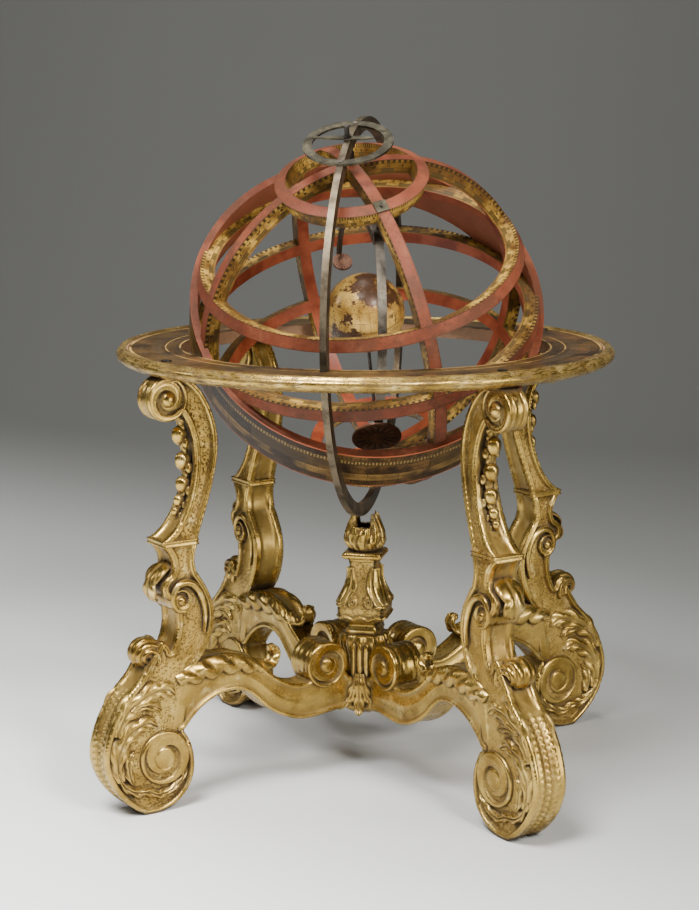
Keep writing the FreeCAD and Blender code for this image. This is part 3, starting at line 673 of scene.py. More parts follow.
def drum(middle, radius, half_width, turns, hand, start, boss, rise, groove=3.2):
    """Volute: a drum whose two faces show a raised band that winds in to a raised eye. hand is 1 or -1,
    boss the eye's share of the radius, rise its height and groove the depth beside the band."""
    share = 0.6
    angles = around(120)
    reach = np.linspace(0.02, 1, 34)[:, None]
    phase = (turns * (1 - reach) + hand * (angles - start) / (2 * math.pi)) % 1.0
    sunk = step(phase, share, share + 0.1) * (1 - step(phase, 0.94, 1.0))
    sunk = sunk * step(reach, boss, boss + 0.05) * (1 - step(reach, 0.80, 0.88))
    knob = rise * np.sqrt(np.clip(1 - (reach / boss) ** 2, 0, 1)) + 0 * angles
    lip = 0.5 * bell(phase - share * 0.5, share * 0.3) * (reach > boss)
    moat = 0.8 * bell(reach - boss, 0.03)
    height = half_width + lip - groove * sunk - moat + knob - 1.2 * step(reach, 0.95, 1.0)
    rim_place = np.linspace(1, -1, 17)[1:-1, None]
    rim_height = (half_width - 1.2) * rim_place + 0 * angles
    rim_reach = 1 - 0.05 * bell(np.abs(rim_place) - 0.62, 0.13) - 0.035 * bell(rim_place, 0.3)
    reach = reach + 0 * angles
    spread = np.concatenate([reach, rim_reach + 0 * angles, reach[::-1]]) * radius
    width = np.concatenate([height, rim_height, -height[::-1]])
    # Painted shade in the sunk groove; the same marks also serve as its punched ground.
    recess = 0.8 * np.concatenate([sunk, 0 * rim_height, sunk[::-1]])
    return *tube(about(middle, spread, width, angles)), recess, recess


def snail(middle, radius, half_width, start):
    """Rolled leaf bud: a fluted coil that thins as it winds in to its middle."""
    turns, flutes = 1.2, 9
    share, turn = shares(100), around(72)
    angle = math.radians(start) - 2 * math.pi * turns * share
    ends = np.sqrt(np.clip(np.minimum(share * 9, (1 - share) * 16), 0.04, 1))
    thick = radius * (0.52 - 0.30 * share) * ends
    reach = radius * 0.5 * (1 - 0.9 * share)
    wide = half_width * (1 - 0.5 * share) * ends
    ridge = 1 + 0.11 * folds(flutes * turn / 2 + 1.5 * share)
    out = reach + thick * ridge * np.cos(turn)
    # The last value is painted shade in the hollows between the flutes.
    return *tube(about(middle, out, wide * ridge * np.sin(turn), angle)), hollows(8 * ridge)


def pod(middle, direction, length, radius):
    """Round bead that draws out to a small point, with shallow flutes."""
    flutes = 5
    direction = np.array(direction, float) / np.linalg.norm(direction)
    side = np.cross(direction, (0.0, 1.0, 0.0))
    side /= np.linalg.norm(side)
    other = np.cross(direction, side)
    share, turn = shares(17), around(20)
    reach = radius * np.sqrt(np.clip(1 - np.abs(2 * share - 1) ** 2.3, 0.004, 1)) * (1 - 0.28 * share)
    reach = reach * (1 + 0.10 * np.cos(flutes * turn))
    spine = np.array(middle, float) + direction * (share[:, :, None] - 0.5) * length
    across = side * np.cos(turn)[:, :, None] + other * np.sin(turn)[:, :, None]
    return tube(spine + across * reach[:, :, None])


def side_outline(node, angle):
    """Outline of a CAD slab's side in the plane of its leg, in millimetres, as one closed run of points."""
    mesh = frame["nodes"][node].data
    outward = Vector((math.cos(math.radians(angle)), math.sin(math.radians(angle)), 0))
    sideways = Vector((-outward.y, outward.x, 0))
    edges = set()
    for face in mesh.polygons:
        if face.normal.dot(sideways) > 0.99:
            keys = [tuple(round(v / MM, 2) for v in mesh.vertices[i].co) for i in face.vertices]
            for pair in zip(keys, keys[1:] + keys[:1]):
                if pair[::-1] in edges:
                    edges.remove(pair[::-1])
                else:
                    edges.add(pair)
    after = dict(edges)
    loops = []
    while after:
        first, place = after.popitem()
        loop = [first]
        while place in after:
            loop.append(place)
            place = after.pop(place)
        loops.append(loop)
    longest = max(loops, key=len)
    return np.array([(Vector(p).dot(outward), p[2]) for p in longest])


def even_run(loop, spacing):
    """The same closed outline with evenly spaced points."""
    closed = np.vstack([loop, loop[:1]])
    lengths = np.concatenate([[0], np.cumsum(np.linalg.norm(np.diff(closed, axis=0), axis=1))])
    places = np.linspace(0, lengths[-1], int(lengths[-1] / spacing), endpoint=False)
    return np.stack([np.interp(places, lengths, closed[:, k]) for k in (0, 1)], axis=1)


def gap_to(points, run, closed=False):
    """Distance from each point to a run of line segments."""
    ends = np.roll(run, -1, axis=0) if closed else run[1:]
    starts = run if closed else run[:-1]
    best = np.full(len(points), 1e9)
    for start, end in zip(starts, ends):
        line = end - start
        share = np.clip((points - start) @ line / max(line @ line, 1e-12), 0, 1)
        best = np.minimum(best, np.linalg.norm(points - start - share[:, None] * line, axis=1))
    return best


def gap_to_points(points, run):
    """Distance from each point to the nearest one of a closely spaced run."""
    return np.concatenate([np.linalg.norm(part[:, None, :] - run[None, :, :], axis=2).min(1)
                           for part in np.array_split(points, 40)])


def inside(points, loop):
    odd = np.zeros(len(points), bool)
    for (x0, y0), (x1, y1) in zip(loop, np.roll(loop, -1, axis=0)):
        if y0 != y1:
            spans = (points[:, 1] > y0) != (points[:, 1] > y1)
            odd ^= spans & (points[:, 0] < (x1 - x0) * (points[:, 1] - y0) / (y1 - y0) + x0)
    return odd


BAND_PLACES = np.linspace(1, -1, 17)[1:-1]
SINK_DEPTH, SINK_WIDTH, EDGE_DROP = 1.2, 2.5, 1.0


def filled(run, spacing):
    """Evenly spaced points that fill a closed run, which comes first among them, and their triangles."""
    low, high = run.min(0), run.max(0)
    places = np.arange(low[0], high[0], spacing)
    rows = np.arange(low[1], high[1], spacing * 0.87)
    grid = np.vstack([np.stack([places + (k % 2) * spacing / 2, np.full(len(places), level)], axis=1)
                      for k, level in enumerate(rows)])
    grid = grid[inside(grid, run)]
    grid = grid[gap_to(grid, run, True) > 0.6 * spacing]
    rim = [(k, (k + 1) % len(run)) for k in range(len(run))]
    points = [Vector(point) for point in np.vstack([run, grid])]
    corners, _, triangles, *_ = geometry.delaunay_2d_cdt(points, rim, [], 1, 1e-5)
    return np.array(corners), triangles


def carved_slab(outline, half_width, side_relief, band_relief, joint, spacing):
    """Slab with two carved sides and a carved band round its edge, which sinks out of sight at its joint.
    half_width(level) is half its thickness at a height. side_relief(points, depth) gives height, recess and
    punched, and band_relief(run, along, across) an offset outwards."""
    run = even_run(outline, spacing)
    bordered = gap_to(run, joint) > spacing
    flat, triangles = filled(run, spacing)
    size, length = len(flat), len(run)
    height, recess, punched = side_relief(flat, gap_to_points(flat, run[bordered]))
    height -= SINK_DEPTH * (1 - step(gap_to(flat, joint), 0, SINK_WIDTH))
    height[:length] = np.where(bordered, -EDGE_DROP, height[:length])
    near = np.stack([flat[:, 0], half_width(flat[:, 1]) + height, flat[:, 1]], axis=1)
    far = near * (1, -1, 1)
    ahead = np.roll(run, -1, axis=0)
    tangent = ahead - np.roll(run, 1, axis=0)
    tangent /= np.linalg.norm(tangent, axis=1)[:, None]
    area = np.sum(run[:, 0] * ahead[:, 1] - ahead[:, 0] * run[:, 1])
    outwards = np.stack([tangent[:, 1], -tangent[:, 0]], axis=1) * np.sign(area)
    along = np.arange(length) * spacing
    band, band_recess = [], []
    for place in BAND_PLACES:
        offset = band_relief(run, along, np.full(length, place))
        flush = run + outwards * offset[:, None]
        flush[:, 1] = np.maximum(flush[:, 1], 0)
        sideways = (half_width(run[:, 1]) - EDGE_DROP) * place
        band.append(np.stack([flush[:, 0], sideways, flush[:, 1]], axis=1))
        # Painted shade where the band is sunk.
        band_recess.append(np.clip(-0.2 * offset, 0, 0.7))
    faces = [tuple(t) for t in triangles] + [tuple(size + i for i in t)[::-1] for t in triangles]
    starts = [0, *(2 * size + k * length for k in range(len(BAND_PLACES))), size]
    for left, right in zip(starts, starts[1:]):
        faces.extend(stitch(left, right, length))
    recess = np.concatenate([recess, recess, *band_recess])
    return Shape().add(np.vstack([near, far, *band]), faces, recess, [*punched, *punched])


# ---------------------------------------------------------------- the stand

LEG_HALF, LEG_TOP_HALF, ARM_HALF = 16.0, 10.0, 14.0
TAPER_START, TAPER_END = 225.0, 345.0
JOINT_LINE, JOINT_OVERLAP = np.array([(207.0, 71.0), (196.0, 130.0)]), 6.0
TOP_SCROLL, TOP_RADIUS = (216.5, 377.0), 20.0
FOOT_SCROLL, FOOT_RADIUS = (227.5, 50.5), 25.0
WAIST_SCROLL, WAIST_RADIUS = (209.0, 194.0), 10.5
BUD, BUD_RADIUS = (240.5, 144.5), 18.0
SHELF_LEVEL, FOOT_LEVEL = 247.0, 128.0
HUB_SCROLL, HUB_RADIUS = (52.5, 110.0), 22.0
SHELF_INNER, SHELF_OUTER = 191.0, 225.4
PANEL_DEPTH, BEAD_PITCH = 3.2, 6.2
BEADED_UP_TO, BEADED_FROM = (112, 122), (232, 242)
LEG_SPACING, ARM_SPACING = 1.15, 1.5


def leg_half(level):
    return np.interp(level, (TAPER_START, TAPER_END), (LEG_HALF, LEG_TOP_HALF))


def arm_half(level):
    return ARM_HALF + 0 * level


def leg_side(points, depth):
    """Raised border with a fillet, round a sunk and punched panel. The side is smooth where the arm joins."""
    shaft = step(points[:, 1], FOOT_LEVEL - 12, FOOT_LEVEL + 6)
    border = 4.6 + 0.8 * shaft
    panel = step(depth, border, border + 1.3)
    fillet = 0.9 * bell(depth - 1.2, 1.0) + 1.5 * bell(depth - border + 1.2, 1.1)
    shelf = bell(points[:, 1] - SHELF_LEVEL, 4.5)
    bulge = 0.7 * step(depth, border + 3, border + 14)
    smooth = 1 - step(gap_to(points, JOINT_LINE), 9, 13)
    height = (fillet - PANEL_DEPTH * panel + bulge) * (1 - shelf)
    height = height * (1 - smooth) + (arm_side(points, depth)[0] + ARM_HALF - LEG_HALF) * smooth
    punched = panel * (1 - shelf) * (1 - smooth)
    groove = bell(depth - border - 1.0, 0.9)
    # The second value is painted shade: darker in the groove round the panel and a little over the panel.
    return height, np.clip(0.12 * punched + 0.7 * groove * (1 - smooth), 0, 1), punched


def leg_band(run, along, across):
    """Sunk face between two borders on the shaft, and a string of beads down the front of the foot."""
    away = np.abs(across)
    foot_front = (1 - step(run[:, 1], *BEADED_UP_TO)) * step(run[:, 0], *BEADED_FROM)
    beads = bell(across, 0.15) * np.abs(np.sin(math.pi * along / BEAD_PITCH)) ** 0.6
    slant = bell(away - 0.44 - 0.05 * np.sin(2 * math.pi * along / BEAD_PITCH), 0.05)
    plain = 0.5 * bell(away - 0.74, 0.06) - 0.7 * bell(away - 0.86, 0.05) - 2.4 * (1 - step(away, 0.56, 0.68))
    beaded = 3.0 * beads - 1.5 * slant - 1.2 * bell(away - 0.78, 0.05) - 3.2 * (1 - step(away, 0.30, 0.38))
    edge = -0.8 * step(away, 0.93, 1.0)
    return plain * (1 - foot_front) + beaded * foot_front + edge


def arm_side(points, depth):
    """Smooth hollow side with a raised fillet along both edges."""
    panel = step(depth, 3.6, 5.4)
    groove = bell(depth - 4.6, 0.9)
    hump = 1.3 * step(depth, 6, 16)
    height = 0.4 * bell(depth - 2.4, 1.5) - 1.9 * panel - 0.6 * groove + hump
    # The second value is painted shade: darker over the sunk panel and in its groove, lighter on the hump.
    return height, np.clip(0.3 * panel + 0.6 * groove - 0.3 * hump, 0, 1), 0 * depth


def arm_band(run, along, across):
    away = np.abs(across)
    return -0.9 * (1 - step(away, 0.66, 0.8)) - 0.8 * step(away, 0.93, 1.0)


def shelf_moulding():
    """Narrow band with two fillets round the knee under the upper shaft."""
    half = leg_half(SHELF_LEVEL)
    profile = ((-3.6, -0.8), (-3.0, 0.7), (-2.2, 1.2), (-1.2, 0.5),
               (0.6, 0.5), (1.5, 1.2), (2.3, 0.8), (3.0, -0.8))
    rings = []
    for rise, out in profile:
        low, high, side = SHELF_INNER - out, SHELF_OUTER + out, half + out
        corners = ((low, -side), (high, -side), (high, side), (low, side))
        ring = [(r, w, SHELF_LEVEL + rise) for r, w in corners]
        fine = [np.linspace(a, b, 13)[:-1] for a, b in zip(ring, ring[1:] + ring[:1])]
        rings.append(np.vstack(fine))
    return Shape().add(*tube(np.array(rings)))


STRAP_COUNT = 90


def side_strap(shape, path, half_width, thickness):
    """Plain raised strap on both sides of a leg."""
    for side in (-1, 1):
        run = spline(path, STRAP_COUNT)
        run = np.stack([run[:, 0], side * (leg_half(run[:, 1]) - 0.6), run[:, 1]], axis=1)
        across = np.cross((0.0, side, 0.0), np.gradient(run, axis=0))
        shape.add(*blade(run, across, half_width, thickness, no_relief, 11))


# Reach, level and radius of each hanging bead.
BEADS = ((200.5, 342.0, 7.8), (197.5, 318.5, 7.8), (197.8, 297.0, 7.2),
         (202.0, 282.5, 5.2), (205.5, 273.0, 4.0))


def in_plane(*corners):
    """Corners (r, z) in the middle plane of a leg, as points."""
    return [(r, 0, z) for r, z in corners]


def hanging_beads(shape):
    """String of fruit down the front of the shaft, with small berries and leaves between."""
    for r, level, radius in BEADS:
        shape.add(*pod((r, 0, level), (0.12, 0, -1), 2.15 * radius, radius))
        for side in (-1, 1):
            berry = (r - 3.4, side * 0.72 * radius, level - 0.75 * radius)
            shape.add(*pod(berry, (0.1, side * 0.35, -1), 1.3 * radius, 0.46 * radius))
    for (r, level, radius), (after, low, _) in zip(BEADS, BEADS[1:]):
        path = in_plane((r - 3, level - 3), ((r + after) / 2 - 3, (level + low) / 2), (after - 2, low + 2))
        shape.add(*leaf(path, 0.62 * radius, 2.6, lobes=2, depth=0.8, count=24))


# Half width, number of lobes and path of each leaf on the side of a foot.
FOOT_LEAVES = (
    (12.5, 4, [(276, 78), (270, 92), (260, 103), (247, 110), (234, 114), (223, 113), (216, 107)]),
    (11.5, 4, [(273, 36), (276, 50), (273, 64), (266, 76), (255, 83), (243, 85), (234, 80)]),
    (6.0, 2, [(262, 99), (249, 102), (237, 100), (230, 95)]),
    (5.5, 2, [(262, 33), (265, 44), (264, 55), (258, 62)]),
    (5.5, 7, [(277, 44), (270, 31), (258, 23), (246, 21.5), (234, 17), (220, 21), (209, 30), (205, 42)]))


def leg_ornament():
    """Volutes, the rolled bud, the hanging beads and the leaves of one leg."""
    shape = Shape()
    top_half = LEG_TOP_HALF + 1.0
    shape.add(*drum(TOP_SCROLL, TOP_RADIUS, top_half, 1.35, -1, 0.4, boss=0.34, rise=4.2, groove=2.6))
    shape.add(*drum(FOOT_SCROLL, FOOT_RADIUS, LEG_HALF + 0.4, 1.3, 1, 2.2, boss=0.40, rise=0.8))
    shape.add(*drum(WAIST_SCROLL, WAIST_RADIUS, LEG_HALF + 1.6, 0.9, -1, 5.0, boss=0.4, rise=2.4))
    shape.add(*snail(BUD, 1.2 * BUD_RADIUS, LEG_HALF + 2.0, 255))
    hanging_beads(shape)
    sprout = in_plane((207, 362), (201, 358), (198.5, 351), (198.5, 343))
    shape.add(*leaf(sprout, 8, 2.6, lobes=3, depth=1.2, count=36))
    hip = in_plane((203, 217), (211, 224), (221, 223), (229, 216), (233, 206), (231, 197), (225, 194))
    shape.add(*leaf(hip, 15, 3.4, lobes=3, depth=1.6))
    waist_strap = [(205, 184), (212, 185.5), (216.5, 192), (216.5, 201), (211.5, 208.5), (203, 210),
                   (194, 205.5), (187, 194), (184.5, 178), (186.5, 162)]
    tapered = np.linspace(2.6, 3.8, STRAP_COUNT) * np.clip(np.linspace(4, 0.1, STRAP_COUNT), 0.1, 1)
    side_strap(shape, waist_strap, tapered, 3.2)
    level = LEG_HALF - PANEL_DEPTH + 0.4
    for wide, lobes, path in FOOT_LEAVES:
        side_leaves(shape, path, level, wide, lobes)
    return shape


def arm_ornament():
    """Hub volute and the acanthus that wraps over the arm and curls up at its tip."""
    shape = Shape()
    shape.add(*drum(HUB_SCROLL, HUB_RADIUS, ARM_HALF + 2.2, 1.35, 1, 1.2, boss=0.34, rise=3.0))
    over = in_plane((214, 121), (203, 127), (190, 131.5), (176, 133.5), (160, 133.5), (145, 130.5),
                    (132, 125), (121, 119.5), (112, 117), (105, 119.5), (101.5, 126), (103, 132), (107, 134))
    half_widths = [17, 17.5, 17, 16.2, 15.6, 15.2, 14.4, 12, 8.5, 6, 4.8, 4.4, 2.5]
    drops = [6, 15, 18, 18, 17, 15, 12, 8, 5, 3.5, 3, 2, 0.5]
    shape.add(*saddle_leaf(over, half_widths, drops))
    shape.add(*pod((105, 0, 131.5), (0, 1, 0.05), 11, 4.6))
    return shape


def build_legs(gold):
    """Four legs and four arms. Each kind is one mesh, turned to its place."""
    angle = LEG_ANGLES["front_right"]
    outline = side_outline("leg_front_right", angle)
    clear_of_bud = np.linalg.norm(outline - np.array(BUD), axis=1) > BUD_RADIUS
    leg = carved_slab(outline[clear_of_bud], leg_half, leg_side, leg_band, JOINT_LINE, LEG_SPACING)
    outline = side_outline("stretcher_front_right", angle)
    outline[gap_to(outline, JOINT_LINE) < 0.5] += (JOINT_OVERLAP, 0)
    arm_end = JOINT_LINE + (JOINT_OVERLAP, 0)
    arm = carved_slab(outline, arm_half, arm_side, arm_band, arm_end, ARM_SPACING)
    leg, arm = leg.mesh("leg_carving", gold), arm.mesh("arm_carving", gold)
    ornament = {"scrolls_and_beads": leg_ornament().mesh("leg_ornament", gold),
                "shelf_moulding": shelf_moulding().mesh("shelf_moulding", gold),
                "arm_acanthus": arm_ornament().mesh("arm_ornament", gold)}
    for place, angle in LEG_ANGLES.items():
        show(f"leg_{place}_carved", leg, angle, [f"leg_{place}"])
        show(f"arm_{place}_carved", arm, angle, [f"stretcher_{place}"])
        for title, mesh in ornament.items():
            show(f"{title}_{place}", mesh, angle)


SIDE_PLACES = np.linspace(-1, 1, 56, endpoint=False)
MOULDING_INNER = 224.1


def span(node):
    """Lowest and highest level of a CAD node, in millimetres."""
    low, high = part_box(node)
    return low.z / MM, high.z / MM


def square_ring(half, level, corner, relief):
    """Ring of points round a square with rounded corners. relief(across) is each face's offset outwards."""
    ring = []
    for face in range(4):
        turn = math.radians(90 * face - 90)
        outward = np.array([math.cos(turn), math.sin(turn)])
        sideways = np.array([-math.sin(turn), math.cos(turn)])
        pull = half * corner * np.clip((np.abs(SIDE_PLACES) - 1 + corner) / corner, 0, 1) ** 2 * 0.45
        for place, offset, back in zip(SIDE_PLACES, relief(SIDE_PLACES), pull):
            spread = half * place * (1 - 0.02 * abs(place))
            flat = outward * (half + offset - back) + sideways * spread
            ring.append((flat[0], flat[1], level))
    return ring


# Levels of the vase and half its width at each.
VASE = [(132, 17.5), (134.5, 18.8), (137, 18.6), (139.5, 17.4), (142, 16.4), (144.5, 19.6),
        (148, 23.2), (153, 25.0), (159, 25.2), (165, 23.8), (171, 21.2), (178, 18.0), (186, 15.6),
        (196, 14.6), (203, 15.2), (206, 16.5)]


NECK_LOW, NECK_HIGH = 163, 197
SCROLL_LEVEL, BAND_LEVEL, SCALLOP_LEVEL, SCALLOP_TOP = 166, 161.5, 147.5, 158


def vase_relief(level):
    """Strapwork of each face of the vase at one level: corner leaves, two scrolls, a band and a scallop."""
    def relief(across):
        away = np.abs(across)
        height = 0 * across
        if NECK_LOW < level < NECK_HIGH:
            share = (level - NECK_LOW) / (NECK_HIGH - NECK_LOW)
            waist = 0.66 - 0.34 * math.sin(math.pi * share) ** 1.3
            leaf_side = step(away, waist - 0.04, waist + 0.05)
            height = height + 2.6 * leaf_side - 1.5 * bell(away - (waist + 1) / 2, 0.07) * leaf_side
            height = height + 1.0 * bell(away - waist - 0.03, 0.06)
        from_eye = np.hypot((away - 0.36) * 25.5, level - SCROLL_LEVEL)
        for radius in (4.2, 1.8):
            height = np.maximum(height, 3.2 * bell(from_eye - radius, 1.1))
        height = np.maximum(height, 2.8 * bell(level - BAND_LEVEL, 1.2) * step(away, 0.6, 0.66))
        low = level < SCALLOP_TOP
        rim = SCALLOP_LEVEL + 3.2 * np.abs(np.cos(math.pi * across * 1.5)) * low
        return np.maximum(height, 2.8 * bell(level - rim, 1.4) * low)
    return relief


def column_core(bottom, top):
    """Fluted boss under the vase, which swells near its foot and again under its rim."""
    turn, level = around(144), np.linspace(bottom, top, 60)[:, None]
    share = (level - bottom) / (top - bottom)
    swell = 5.5 * bell(share - 0.16, 0.16) + 4.0 * bell(share - 0.9, 0.12) - 1.5 * bell(share - 0.45, 0.14)
    flutes = 1.3 * np.cos(12 * turn) + 0.5 * np.cos(36 * turn)
    reach = (19.5 + swell) * np.sqrt(np.minimum(1.0, 0.25 + share * 9)) + flutes
    return tube(np.stack([reach * np.cos(turn), reach * np.sin(turn), level + 0 * turn], axis=2))


def vase():
    """Square vase with strapwork on its faces, as wide as VASE says."""
    levels = np.arange(VASE[0][0], VASE[-1][0] + 0.01, 0.85)
    halves = np.interp(levels, *zip(*VASE))
    halves = np.convolve(np.pad(halves, 2, mode="edge"), np.ones(5) / 5, "valid")
    rings = [square_ring(half - 1.8, level, 0.34, vase_relief(level)) for level, half in zip(levels, halves)]
    heights = np.array([np.tile(vase_relief(level)(SIDE_PLACES), 4) for level in levels])
    flat = np.array([[float(145 < level < 203)] for level in levels]) * (heights < 0.5)
    # Painted shade in the hollows of the strapwork; the flat ground between it is marked darker as well.
    dark = np.clip(hollows(heights, 3, 1.6) + 0.38 * flat, 0, 1)
    return *tube(np.array(rings)), dark, flat


def core_leaves(column):
    """Three pods and three leaves that hang down each side of the core."""
    for quarter in range(4):
        angle = math.radians(90 * quarter)
        out = np.array([math.cos(angle), math.sin(angle), 0])
        side = np.array([-math.sin(angle), math.cos(angle), 0])
        for sway in (-6.5, 0, 6.5):
            column.add(*pod(out * 23.5 + side * sway + (0, 0, 108), (0, 0, -1), 38, 3.8))
        for sway, foot, wide in ((0, 57, 6.5), (10, 62, 6), (-10, 62, 6)):
            run = ((24, 0.2, 96), (27.5, 0.5, 84), (27.5, 0.8, 73), (30, 1.3, foot + 5), (33.5, 1.8, foot))
            path = [out * r + side * sway * share + np.array([0, 0, level]) for r, share, level in run]
            column.add(*leaf(path, wide, 3.0, lobes=4, depth=1.4, count=48, sideways=side))


def build_column(gold):
    """Vase over a fluted core with hanging leaves."""
    column = Shape().add(*vase())
    column.add(*column_core(span("centre_column")[0], VASE[0][0]))
    core_leaves(column)
    show("column_carved", column.mesh("column_carving", gold), replaces=["centre_column"])


def build_moulding(gold):
    """Turned moulding round the horizon: a bead between fillets, with slightly uneven edges."""
    bottom, top = span("horizon_moulding")
    inner, outer = MOULDING_INNER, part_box("horizon_moulding")[1].x / MM - 0.1
    depth = top - bottom
    under = ((0, 0.02), (2.0, 0.02), (3.2, 0.10), (4.0, 0.13), (5.4, 0.13), (6.2, 0.18), (7.6, 0.26))
    rim = ((-0.35, 0.38), (0, 0.52), (-0.3, 0.66), (-1.3, 0.76), (-2.2, 0.79), (-2.5, 0.84), (-3.0, 0.86),
           (-3.3, 0.96), (-4.2, 0.99))
    upper = ((3.0, 1.0), (2.4, 0.94), (1.6, 0.93), (1.0, 0.99), (0, 1.0))
    profile = [(edge + offset, share) for edge, offsets in ((inner, under), (outer, rim), (inner, upper))
               for offset, share in offsets]
    noise.seed_set(7)
    rings = []
    for turn in np.linspace(0, 2 * math.pi, 361):
        aim = Vector((math.cos(turn), math.sin(turn), 0))
        dent = 0.25 * noise.noise(aim * 9) + 0.15 * noise.noise(aim * 31)
        rings.append([(*(aim.xy * (r - 0.25 + dent * (r > inner + 1))), bottom + depth * share)
                      for r, share in profile])
    rings = np.array(rings[:-1])
    count, size = rings.shape[:2]
    faces = [face for row in range(count) for face in stitch(row * size, (row + 1) % count * size, size)]
    shape = Shape().add(rings.reshape(-1, 3), faces)
    show("moulding_turned", shape.mesh("moulding_turning", gold), replaces=["horizon_moulding"])


def build_collar(gold):
    """Square cushion under the flame, with slight reeding on its four faces."""
    bottom, top = span("column_collar")
    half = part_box("column_collar")[1].x / MM
    rings = []
    for share in np.linspace(0, 1, 15):
        swell = half - 2.0 + 2.0 * math.sin(math.pi * share) ** 0.6
        level = bottom + (top - bottom) * share
        rings.append(square_ring(swell, level, 0.1, lambda across: 0.25 * np.cos(22 * across)))
    collar = Shape().add(*tube(np.array(rings)))
    show("collar_carved", collar.mesh("collar_carving", gold), replaces=["column_collar"])


SLOT_LEVEL, SLOT_HALF = 236.0, 7.5


def build_flame(gold):
    """Cup of wavy flames that close in towards the top, with a notch for the meridian ring."""
    bottom, top = span("flame_finial")
    share, turn = shares(60), around(220)
    radius = np.interp(share, (0, 0.10, 0.28, 0.5, 0.75, 1), (12.8, 16.2, 19.0, 18.2, 14.6, 11.0))
    tongues = folds(5.5 * turn + 1.1 * np.sin(5.0 * share + 2 * np.cos(turn)))
    fine = np.sin(23 * turn + 5.5 * share + 1.5 * np.sin(7 * share))
    relief = (1.5 * tongues + 0.45 * fine) * step(share, 0.0, 0.15)
    height = share * (top - bottom - 4.0 + 4.0 * step(tongues, -0.5, 0.9))
    outer = radius + relief
    reach = np.concatenate([outer, (0.72 * outer)[::-1]])
    x, y = reach * np.cos(turn), reach * np.sin(turn)
    z = bottom + np.concatenate([height, np.maximum(height - 1.5, 0.5)[::-1]])
    z = np.where(np.abs(x) < SLOT_HALF, np.minimum(z, SLOT_LEVEL), z)
    # Painted shade: darker between the tongues, and nearly all dark over the inside of the cup.
    dark = np.concatenate([hollows(relief, 2, 1.2), np.full(relief.shape, 0.9)])
    flame = Shape().add(*tube(np.stack([x, y, z], axis=2)), dark)
    show("flame_carved", flame.mesh("flame_carving", gold), replaces=["flame_finial"])


# ---------------------------------------------------------------- putting it together

def dress(names, material):
    """Gives a material to CAD nodes that keep showing."""
    for name in names:
        mesh = frame["nodes"][name].data
        mesh.materials.clear()
        mesh.materials.append(material)


def build_sphere():
    """Paints the hoops. The zodiac band is turned and sloped a little past the ecliptic."""
    for name, latitude in HOOP_LATITUDES.items():
        dress([name], hoop_paint(f"{name}_paint", POLE, COLURE_SIDE, latitude, HOOP_HALF))
    dress(["solstitial_colure"], hoop_paint("solstitial_paint", EQUINOX_SIDE, POLE, 0.0, COLURE_HALF))
    dress(["equinoctial_colure"], hoop_paint("equinoctial_paint", COLURE_SIDE, POLE, 0.0, COLURE_HALF))
    side = Matrix.Rotation(ZODIAC_TURN, 3, POLE) @ COLURE_SIDE
    axis = POLE * math.cos(ZODIAC_SLOPE) + side * math.sin(ZODIAC_SLOPE)
    dress(["zodiac_band"], zodiac_paint(axis, side.cross(axis).normalized()))


def build_metal():
    iron = old_metal("dark_iron", (0.02, 0.017, 0.014), (0.07, 0.06, 0.05), 0.42)
    steel = old_metal("steel", (0.055, 0.046, 0.034), (0.17, 0.147, 0.115), 0.38, 0.6)
    dress(["meridian_ring"], meridian_paint())
    dress(["ring_screws", "south_rod", "south_nut", "north_axle", "north_collar", "hand_washer", "south_bush",
           "ecliptic_pin", "pin_nut", "sun_rivet"], iron)
    dress(["hour_circle_screws", "sun_arm", "moon_arm"], steel)
    dress(["hour_circle", "hour_hand", "ecliptic_plate"], dial_paint())
    dress(["sun_disc"], disc_paint("sun_disc", (0.045, 0.018, 0.010), (0.16, 0.075, 0.040)))
    dress(["moon_disc"], disc_paint("moon_disc", (0.09, 0.035, 0.020), (0.24, 0.12, 0.07)))


def build_backdrop():
    """Pale floor that curves up into a plain wall, with painted shade that darkens it towards the back and
    the right.
    """
    bend, wall, top, half = 1.6, 3.4, 7.0, 9.0
    profile = [(-half, 0.0), (-3.0, 0.0), (0.0, 0.0)]
    for share in np.linspace(0, 1, 40):
        turn = share * math.pi / 2
        profile.append((wall - bend + bend * math.sin(turn), bend - bend * math.cos(turn)))
    profile.append((wall, top))
    points = [(x, y, z) for y, z in profile for x in (-half, half)]
    faces = [(2 * k, 2 * k + 1, 2 * k + 3, 2 * k + 2) for k in range(len(profile) - 1)]
    mesh = bpy.data.meshes.new("backdrop")
    mesh.from_pydata(points, [], faces)
    mesh.shade_smooth()
    mesh.materials.append(backdrop_paint())
    floor = bpy.data.objects.new("backdrop", mesh)
    bpy.context.scene.collection.objects.link(floor)


def backdrop_paint():
    paint = Paint("backdrop_paper")
    x, y, z = (paint.along(axis) for axis in ((1, 0, 0), (0, 1, 0), (0, 0, 1)))
    # Painted shade for the fall-off of the light: pale at the front left, dark grey towards the back, the top
    # and the right.
    deep = (y + z * 0.8 + x * 0.8).ramp(-0.8, 1.2)
    colour = paint.mix(deep + paint.noise(1.2, 2) * 0.02, (0.86, 0.87, 0.86), (0.245, 0.249, 0.240))
    # More painted shade towards the right.
    colour = paint.mix(x.ramp(-1.2, 1.9), colour, (0.11, 0.112, 0.108))
    return paint.finish(colour, 0.7)


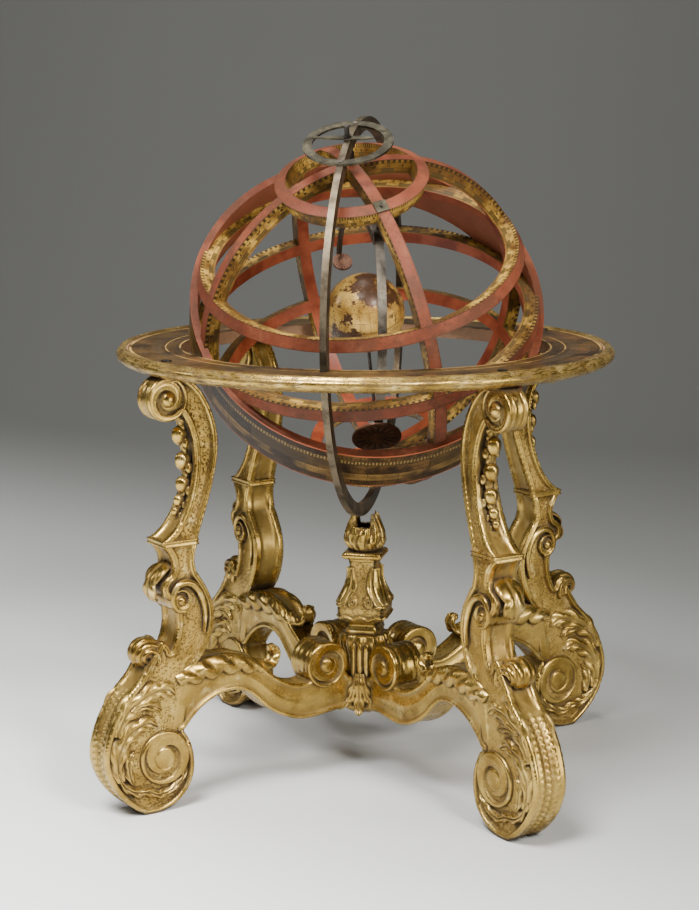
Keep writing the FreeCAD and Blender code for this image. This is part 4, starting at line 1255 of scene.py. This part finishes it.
def build_lights():
    """Five soft lights and a faint grey world. A light has its place, aim, size, power, spread and tint."""
    world = bpy.data.worlds.new("studio")
    world.use_nodes = True
    background = world.node_tree.nodes["Background"]
    background.inputs["Color"].default_value = (0.66, 0.66, 0.65, 1)
    background.inputs["Strength"].default_value = 0.10
    bpy.context.scene.world = world
    middle, low_middle, open_floor = (0, 0, 0.3), (-0.1, -0.1, 0.2), (-0.35, -1.15, 0)
    for name, place, aim, size, power, spread, tint in (
            ("key", (1.6, -1.8, 2.0), middle, 0.6, 118, 180, (1.0, 0.97, 0.92)),
            ("side", (1.9, -0.8, 0.5), low_middle, 0.9, 9, 120, (1.0, 0.98, 0.93)),
            ("fill", (-2.2, -0.2, 1.5), middle, 0.5, 9, 180, (0.98, 0.98, 1.0)),
            ("top", (-0.3, 0.2, 2.5), middle, 0.8, 36, 180, (1.0, 0.99, 0.97)),
            ("floor", (-0.5, -1.5, 2.4), open_floor, 1.0, 66, 80, (1.0, 1.0, 1.0))):
        light = bpy.data.lights.new(name, "AREA")
        light.shape, light.size, light.energy, light.color = "SQUARE", size, power, tint
        light.spread = math.radians(spread)
        lamp = bpy.data.objects.new(name, light)
        lamp.location = place
        lamp.rotation_euler = (Vector(aim) - Vector(place)).to_track_quat("-Z", "Y").to_euler()
        bpy.context.scene.collection.objects.link(lamp)


CAMERA_PLACE, CAMERA_TILT, CAMERA_TURN = (0.3884, -1.9508, 0.6642), 79.74, 11.69
LENS, SENSOR = 84.3, 36.0


def build_camera():
    camera = bpy.data.cameras.new("camera")
    camera.lens, camera.sensor_width = LENS, SENSOR
    view = bpy.data.objects.new("camera", camera)
    view.location = CAMERA_PLACE
    view.rotation_euler = (math.radians(CAMERA_TILT), 0, math.radians(CAMERA_TURN))
    bpy.context.scene.collection.objects.link(view)
    bpy.context.scene.camera = view


def build():
    gold = gilding()
    build_backdrop()
    build_lights()
    build_camera()
    build_legs(gold)
    build_column(gold)
    build_collar(gold)
    build_flame(gold)
    build_moulding(gilding("worn_gilding", 0.9))
    dress(["horizon_paper"], horizon_paint())
    dress(["horizon_ring", "leg_dowels", "hub_dowels", "finial_tenon"], bare_wood())
    dress(["earth_globe"], globe_paint())
    build_metal()
    build_sphere()


build()
